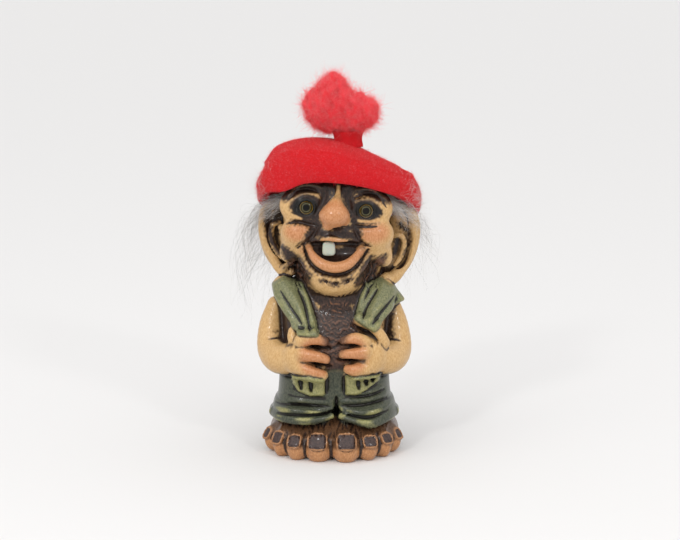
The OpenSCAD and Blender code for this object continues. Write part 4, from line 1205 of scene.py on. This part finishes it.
# The nape's hair falls straight down the back; a second layer is laid under it below
NAPE_GUIDES = [[(a * 0.8 + 1, 18.6, 104), (a + 1, 22.6, 97), (a * 1.08 + 1, 24.2, 88),
                (a * 1.12 + 1, 24.6, 79),
                (a * 1.15 + 1, 24.0, 69), (a * 1.1 + 1, 22.4, 60), (a + 1, 20.8, 53)]
               for a in (-17, -11, -4, 4, 11, 17)]
draws = np.random.default_rng(11)
for name, guides, count, fan, dark_share in (("left_side", LEFT_GUIDES, 1300, 2.9, 0.36),
                                             ("right_side", RIGHT_GUIDES, 1000, 2.8, 0.10),
                                             ("nape", NAPE_GUIDES, 3500, 1.8, 0.34)):
    if name == "nape":
        guides = guides + [[(px * 0.94, py - 2.8 if py > 20 else py, pz) for px, py, pz in guide]
                           for guide in guides[::-1]]
    curl, keep, steps = (1.3, 1.3, 10) if name == "nape" else (2.4, 2.2, 15)
    paths = locks(guides, count, draws, fan, curl, keep, steps)
    dark = draws.random(count) < dark_share
    tones = np.where(dark, draws.random(count) * 0.38, 0.5 + draws.random(count) * 0.5)
    tuft = strands(name + "_locks", paths, 0.05 + 0.05 * draws.random(count), tones, wool_hair)
    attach(tuft, "figure")
    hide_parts(name + "_hair")


def scatter(piece, count, draws, chosen=None):
    """Random places on a piece's skin, in millimetres, and the way out from each."""
    mesh = piece.data
    mesh.calc_loop_triangles()
    spots, corners = np.zeros(len(mesh.vertices) * 3), np.zeros(len(mesh.loop_triangles) * 3, int)
    mesh.vertices.foreach_get("co", spots)
    mesh.loop_triangles.foreach_get("vertices", corners)
    a, b, c = spots.reshape(-1, 3)[corners.reshape(-1, 3)].transpose(1, 0, 2) / MM
    out = np.cross(b - a, c - a)
    weight = np.linalg.norm(out, axis=1)
    if chosen is not None:
        weight = weight * chosen((a + b + c) / 3, out / (weight[:, None] + 1e-9))
    pick = draws.choice(len(weight), count, p=weight / weight.sum())
    u, v = draws.random((2, count, 1))
    u, v = np.where(u + v > 1, 1 - u, u), np.where(u + v > 1, 1 - v, v)
    size = np.linalg.norm(out[pick], axis=1, keepdims=True)
    return a[pick] + u * (b[pick] - a[pick]) + v * (c[pick] - a[pick]), out[pick] / size


def nap(places, out, draws, length, lie, curl, steps=4, comb=(0, 0, 0)):
    """Short fibre paths that stand out of a skin, laid over by lie and curled."""
    count = len(places)
    way = out * (1 - lie) + lie * draws.normal(0, 1, (count, 3)) * 0.6 + np.array(comb)
    way /= np.linalg.norm(way, axis=1, keepdims=True)
    bend = draws.normal(0, 1, (count, 3)) * curl
    paths, spot = [places - 0.15 * out], places - 0.15 * out
    for i in range(steps - 1):
        spot = spot + way * (length / (steps - 1))[:, None]
        paths.append(spot)
        way = way + bend / (steps - 1)
        way /= np.linalg.norm(way, axis=1, keepdims=True)
    return np.stack(paths, 1)


# Short underfur covers the strip's outer face, combed down
draws = np.random.default_rng(12)
underfur_count = 2600
places, out = scatter(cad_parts["fur_strip"], underfur_count, draws,
                      lambda at, way: (way[:, 0] * (at[:, 0] - head_x) + way[:, 1] * at[:, 1] > 3) * 1.0)
paths = nap(places, out, draws, 2.5 + 2.5 * draws.random(underfur_count), 0.4, 0.5, 5, (0, 0, -0.7))
underfur = strands("strip_underfur", paths, np.full(underfur_count, 0.09),
                   0.25 + 0.7 * draws.random(underfur_count), wool_hair)
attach(underfur, "figure")


# ---------------------------------------------------------------------------
# Felt hat: a blocked bag of soft wool felt with its edge turned up into a deep
# cuff. It is pulled on aslant, so its top slopes down to the figure's left hand.
# ---------------------------------------------------------------------------
band_low, band_high = [np.array(corner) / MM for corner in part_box("hat_band")]
hat_mid = (band_low + band_high)[:2] / 2
hat_half = (band_high - band_low)[:2] / 2
felt = 1.9
cuff_felt = 2.3
FOLD = curve([(-33, 107.0), (-29.5, 111.2), (-26, 116.0), (-21, 119.8), (-12, 121.6), (-2, 120.8),
              (6, 118.8), (13, 116.2),
              (20, 113.6), (28, 110.8), (34, 107.8), (38, 104.6)], 6)
hat_sides = 160
turn = np.linspace(0, 2 * math.pi, hat_sides, endpoint=False)
ring_x, ring_y = np.cos(turn), np.sin(turn)


def fold_height(x):
    """Height of the turned-up edge over a place across the hat."""
    return np.interp(x, FOLD[:, 0], FOLD[:, 1])


def rim_height(x, y):
    """Height of the hat's lower edge: tipped up in front and down to one side."""
    droop = 2.2 * np.exp(-((x + 21) / 6) ** 2) * np.clip(-y / 10, 0, 1)
    return 98.9 - 0.42 * y - 0.066 * (x - hat_mid[0]) + 0.35 * np.sin(3 * np.arctan2(y, x)) - droop


def wall_ring(rise, inset, lift=0.0):
    """One level ring of the hat's wall, rise from 0 at the rim to 1 at the fold."""
    swell = 0.985 + 0.02 * math.sin(math.pi * min(rise, 1)) - 0.075 * max(rise, 0) ** 2.6
    waver = (0.35 * np.sin(3 * turn + 1.1) * rise + 0.25 * np.sin(7 * turn + 2 * rise)
             + 0.15 * np.sin(13 * turn + 5 * rise))
    tucked = 2.0 * (1 - min(rise, 1)) * np.clip(-ring_x, 0, 1) ** 4
    px = hat_mid[0] + (hat_half[0] * swell - inset - 0.4 - tucked + waver) * ring_x
    py = hat_mid[1] + (hat_half[1] * swell - inset - 0.4 + waver) * ring_y
    edge = rim_height(hat_mid[0] + hat_half[0] * ring_x, hat_mid[1] + hat_half[1] * ring_y)
    top = fold_height(hat_mid[0] + hat_half[0] * 0.92 * ring_x) - 2.6 * np.clip(ring_y, 0, 1) ** 2
    return np.column_stack([px, py, edge + (top - edge) * rise + lift])


def top_ring(share, sink):
    """One ring of the crown's top, share from 1 at the wall to 0 in the middle."""
    px = hat_mid[0] + (hat_half[0] * 0.915 - cuff_felt) * share * ring_x
    py = hat_mid[1] + (hat_half[1] * 0.915 - cuff_felt) * share * ring_y
    tuck = 1.7 * math.exp(-((share - 0.98) / 0.07) ** 2) + 2.6 * np.clip(ring_y, 0, 1) ** 2 * share ** 2
    slump = 0.35 * np.sin(2.3 * px / 9 + 0.7) * np.sin(2.1 * py / 8) * share
    slump += 0.7 * np.exp(-((px - 2) / 7) ** 2) * np.exp(-((py + 16) / 7) ** 2)
    top = fold_height(px * 0.93 + 0.2) + 3.5 * (1 - share ** 2) - tuck + slump - sink
    return np.column_stack([px, py, top])


# The cuff: up the outside, over its rolled fold, down the inside and round its lower edge
edge = cuff_felt / 2
rings = [wall_ring(r, 0) for r in np.linspace(0.12, 0.98, 14)]
rings += [wall_ring(1, edge * (1 - math.cos(a)), edge * math.sin(a)) for a in np.linspace(0.3, 2.8, 6)]
rings += [wall_ring(r, cuff_felt) for r in np.linspace(0.94, 0.14, 8)]
rings += [wall_ring(0.06, edge * (1 + math.cos(a)), -edge * math.sin(a)) for a in np.linspace(0.3, 2.8, 6)]
cuff = turned("felt_cuff", rings, close=True)
# The bag: its inside from the middle of the top down to the rim, then its outside back to the middle
inner = cuff_felt + felt
rings = [top_ring(s * (hat_half[0] - inner) / (hat_half[0] - cuff_felt), felt)
         for s in (0.03, 0.2, 0.4, 0.6, 0.78, 0.9, 0.97)]
rings += [wall_ring(r, inner + 0.1) for r in np.linspace(0.86, 0.12, 10)]
rings += [wall_ring(0.08, cuff_felt + 0.1 + felt / 2 * (1 + math.cos(a)), -felt / 2 * math.sin(a))
          for a in (0.4, 1.2, 2.0, 2.7)]
rings += [wall_ring(r, cuff_felt + 0.1) for r in np.linspace(0.12, 0.90, 12)]
rings += [top_ring(s, 0)
          for s in (0.995, 0.975, 0.95, 0.92, 0.88, 0.82, 0.74, 0.64, 0.52, 0.38, 0.24, 0.12, 0.03)]
bag = turned("felt_crown", rings)

red_felt, shader = new_material("milled_red_wool_felt")
# Matted short fibres: soft cloudy red mottled at random, no gloss; the cloud that raises the bump also makes
# its lumps lighter and the dips darker, as painted highlight and shade
swirl = node(red_felt, "TexNoise", {"Scale": 480.0, "Detail": 5.0, "Roughness": 0.7, "Distortion": 1.6})
fibre = node(red_felt, "TexNoise", {"Scale": 1400.0, "Detail": 3.0, "Distortion": 2.5})
felt_tone_and_shade = node(red_felt, "ValToRGB", links={0: swirl.outputs["Fac"]})
stops(felt_tone_and_shade, (0.40, linear("#B4050E")), (0.5, linear("#EE101B")), (0.60, linear("#FF3740")))
red_felt.node_tree.links.new(felt_tone_and_shade.outputs["Color"], shader.inputs["Base Color"])
matted = node(red_felt, "Bump", {"Strength": 0.7, "Distance": 0.0004}, {"Height": fibre.outputs["Fac"]})
lumpy = node(red_felt, "Bump", {"Strength": 0.7, "Distance": 0.0008},
             {"Height": swirl.outputs["Fac"], "Normal": matted.outputs[0]})
red_felt.node_tree.links.new(lumpy.outputs[0], shader.inputs["Normal"])
set_shader(shader, Roughness=0.95, Specular_IOR_Level=0.2, Sheen_Weight=0.35, Sheen_Roughness=0.4,
           Sheen_Tint=linear("#FF6A6A"))
for piece, node_name in ((cuff, "hat_band"), (bag, "hat_crown")):
    piece.data.materials.append(red_felt)
    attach(piece, "hat")
    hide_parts(node_name)

felt_hair, shader = new_material("dyed_wool_fibre")
# Loose dyed fibres catch the light, pale at their tips
fibre_share = node(felt_hair, "Attribute", attribute_name="tone")
fibre_tone = node(felt_hair, "ValToRGB", links={0: fibre_share.outputs["Fac"]})
stops(fibre_tone, (0.0, linear("#CC0F1A")), (0.45, linear("#FA202B")), (0.8, linear("#FF4C56")),
      (1.0, linear("#FF8C90")))
felt_hair.node_tree.links.new(fibre_tone.outputs["Color"], shader.inputs["Base Color"])
set_shader(shader, Roughness=0.6, Sheen_Weight=0.4)


def outside_hat(at, way):
    """Weight for the nap: only the outer skin of the cuff and the crown grows it."""
    across = (at[:, :2] - hat_mid) / hat_half
    outward = (way[:, :2] * across).sum(1) + 1.2 * np.maximum(way[:, 2], 0)
    return (outward > 0.25) * 1.0


draws = np.random.default_rng(13)
for piece, count in ((cuff, 11000), (bag, 9000)):
    places, out = scatter(piece, count, draws, outside_hat)
    paths = nap(places, out, draws, 0.7 + 1.1 * draws.random(count) ** 2, 0.75, 0.9)
    fuzz = strands(piece.name + "_nap", paths, np.full(count, 0.075), draws.random(count) ** 1.4, felt_hair)
    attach(fuzz, "hat")

# Pale hairs from the locks that cling to the felt at both ends
draws = np.random.default_rng(14)
clinging_count = 520
places, out = scatter(cuff, clinging_count, draws,
                      lambda at, way: outside_hat(at, way) * (at[:, 1] < 6) * (
                          np.exp(-((at[:, 0] - 31) / 4.5) ** 2 - ((at[:, 2] - 100) / 6) ** 2)
                          + 0.45 * np.exp(-((at[:, 0] + 29) / 4) ** 2 - ((at[:, 2] - 104) / 8) ** 2)))
paths = nap(places + 0.3 * out, out, draws, 2.0 + 6 * draws.random(clinging_count), 0.8, 1.6, 9)
clinging = strands("clinging_hairs", paths, np.full(clinging_count, 0.04),
                   0.7 + 0.3 * draws.random(clinging_count), wool_hair)
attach(clinging, "hat")


# ---------------------------------------------------------------------------
# Stem and tuft: the felt is drawn up into a short neck, and combed wool roving is
# pulled through it and teased out into a soft lopsided tuft.
# ---------------------------------------------------------------------------
stem_low, stem_high = [np.array(corner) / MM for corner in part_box("hat_stem")]
stem_mid = (stem_low + stem_high)[:2] / 2
stem_half = (stem_high[0] - stem_low[0]) / 2
rings = []
for rise in np.linspace(0, 1, 12):
    pleat = 0.28 * np.sin(7 * turn + 2.5 * rise) + 0.16 * np.sin(12 * turn + 1)
    pinch = stem_half * (0.86 + 0.05 * math.cos(2 * math.pi * rise))
    height = stem_low[2] - 3.2 + (stem_high[2] + 3.6 - stem_low[2]) * rise
    rings.append(np.column_stack([stem_mid[0] + 0.2 + (pinch + 0.9 + pleat) * ring_x,
                                  stem_mid[1] + (pinch * 0.9 + pleat) * ring_y,
                                  np.full(hat_sides, height)]))
neck = turned("felt_neck", rings)
neck.data.materials.append(red_felt)
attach(neck, "hat")
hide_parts("hat_stem")

tuft_low, tuft_high = [np.array(corner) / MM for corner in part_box("hat_pompom")]
peak = tuft_high[2]
tuft_y = (tuft_low[1] + tuft_high[1]) / 2
LOBES = [egg((-4.0, tuft_y, peak - 14.8), (9.0, 7.2, 9.2)),
         egg((-1.4, tuft_y, peak - 7.8), (6.0, 4.8, 6.2)),
         egg((9.8, tuft_y, peak - 16.0), (8.8, 6.4, 7.0)), egg((4.0, tuft_y, peak - 13.6), (6.6, 6.0, 7.6)),
         egg((4.0, tuft_y, peak - 20.6), (9.4, 6.0, 4.0)),
         rope([(-0.4, tuft_y, peak - 6.4), (1.2, tuft_y, peak - 2.8), (2.2, tuft_y, peak - 0.4)],
              [4.2, 2.8, 1.3])]
tuft_grid = 0.7
tuft_from = tuft_low - 4
tuft_cells = ((tuft_high + 4 - tuft_from) / tuft_grid).astype(int) + 1
tuft_axes = [tuft_from[k] + tuft_grid * np.arange(tuft_cells[k]) for k in range(3)]
gx, gy, gz = np.meshgrid(*tuft_axes, indexing="ij")
wool = np.full(gx.shape, 9.0)
for low, high, dist in LOBES:
    lump = dist(gx, gy, gz)
    blend = np.maximum(4 - np.abs(wool - lump), 0) / 4
    wool = np.minimum(wool, lump) - blend * blend
wool += (0.8 + 0.7 * np.sin(0.9 * gx + 1.3 * np.sin(0.5 * gz)) * np.sin(0.8 * gz + 1.0)
         + 0.35 * np.sin(1.7 * gx - 1.1 * gy + 0.6 * gz))
wool_points, wool_quads = skin(wool, tuft_from, tuft_grid)
tuft_core = mesh_object("wool_tuft", (wool_points * MM).tolist(), wool_quads.tolist())
roving, shader = new_material("combed_dyed_wool_roving")
# Open combed wool: pinker and lighter than the felt, glowing where light comes through
cloud = node(roving, "TexNoise", {"Scale": 160.0, "Detail": 6.0, "Roughness": 0.7, "Distortion": 1.5})
tuft_tone = node(roving, "ValToRGB", links={0: cloud.outputs["Fac"]})
stops(tuft_tone, (0.3, linear("#EA1F2D")), (0.5, linear("#FA3844")), (0.7, linear("#FF6068")))
roving.node_tree.links.new(tuft_tone.outputs["Color"], shader.inputs["Base Color"])
combed = node(roving, "TexNoise", {"Scale": 900.0, "Detail": 4.0, "Distortion": 3.0})
combed_bump = node(roving, "Bump", {"Strength": 0.8, "Distance": 0.0006}, {"Height": combed.outputs["Fac"]})
roving.node_tree.links.new(combed_bump.outputs[0], shader.inputs["Normal"])
set_shader(shader, Roughness=1.0, Specular_IOR_Level=0.1, Sheen_Weight=0.8, Sheen_Roughness=0.5,
           Sheen_Tint=linear("#FF9090"), Subsurface_Weight=0.35, Subsurface_Scale=0.002)
tuft_core.data.materials.append(roving)
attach(tuft_core, "hat")
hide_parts("hat_pompom")
draws = np.random.default_rng(15)
for part, count, longest, lie, curl in (("tuft_fleece", 8000, 3.8, 0.66, 1.4),
                                        ("tuft_wisps", 3600, 7.0, 0.5, 2.2)):
    places, out = scatter(tuft_core, count, draws)
    paths = nap(places, out, draws, 1.0 + (longest - 1) * draws.random(count) ** 1.5, lie, curl, 5)
    fleece = strands(part, paths, np.full(count, 0.075), 0.4 + 0.6 * draws.random(count), felt_hair)
    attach(fleece, "hat")
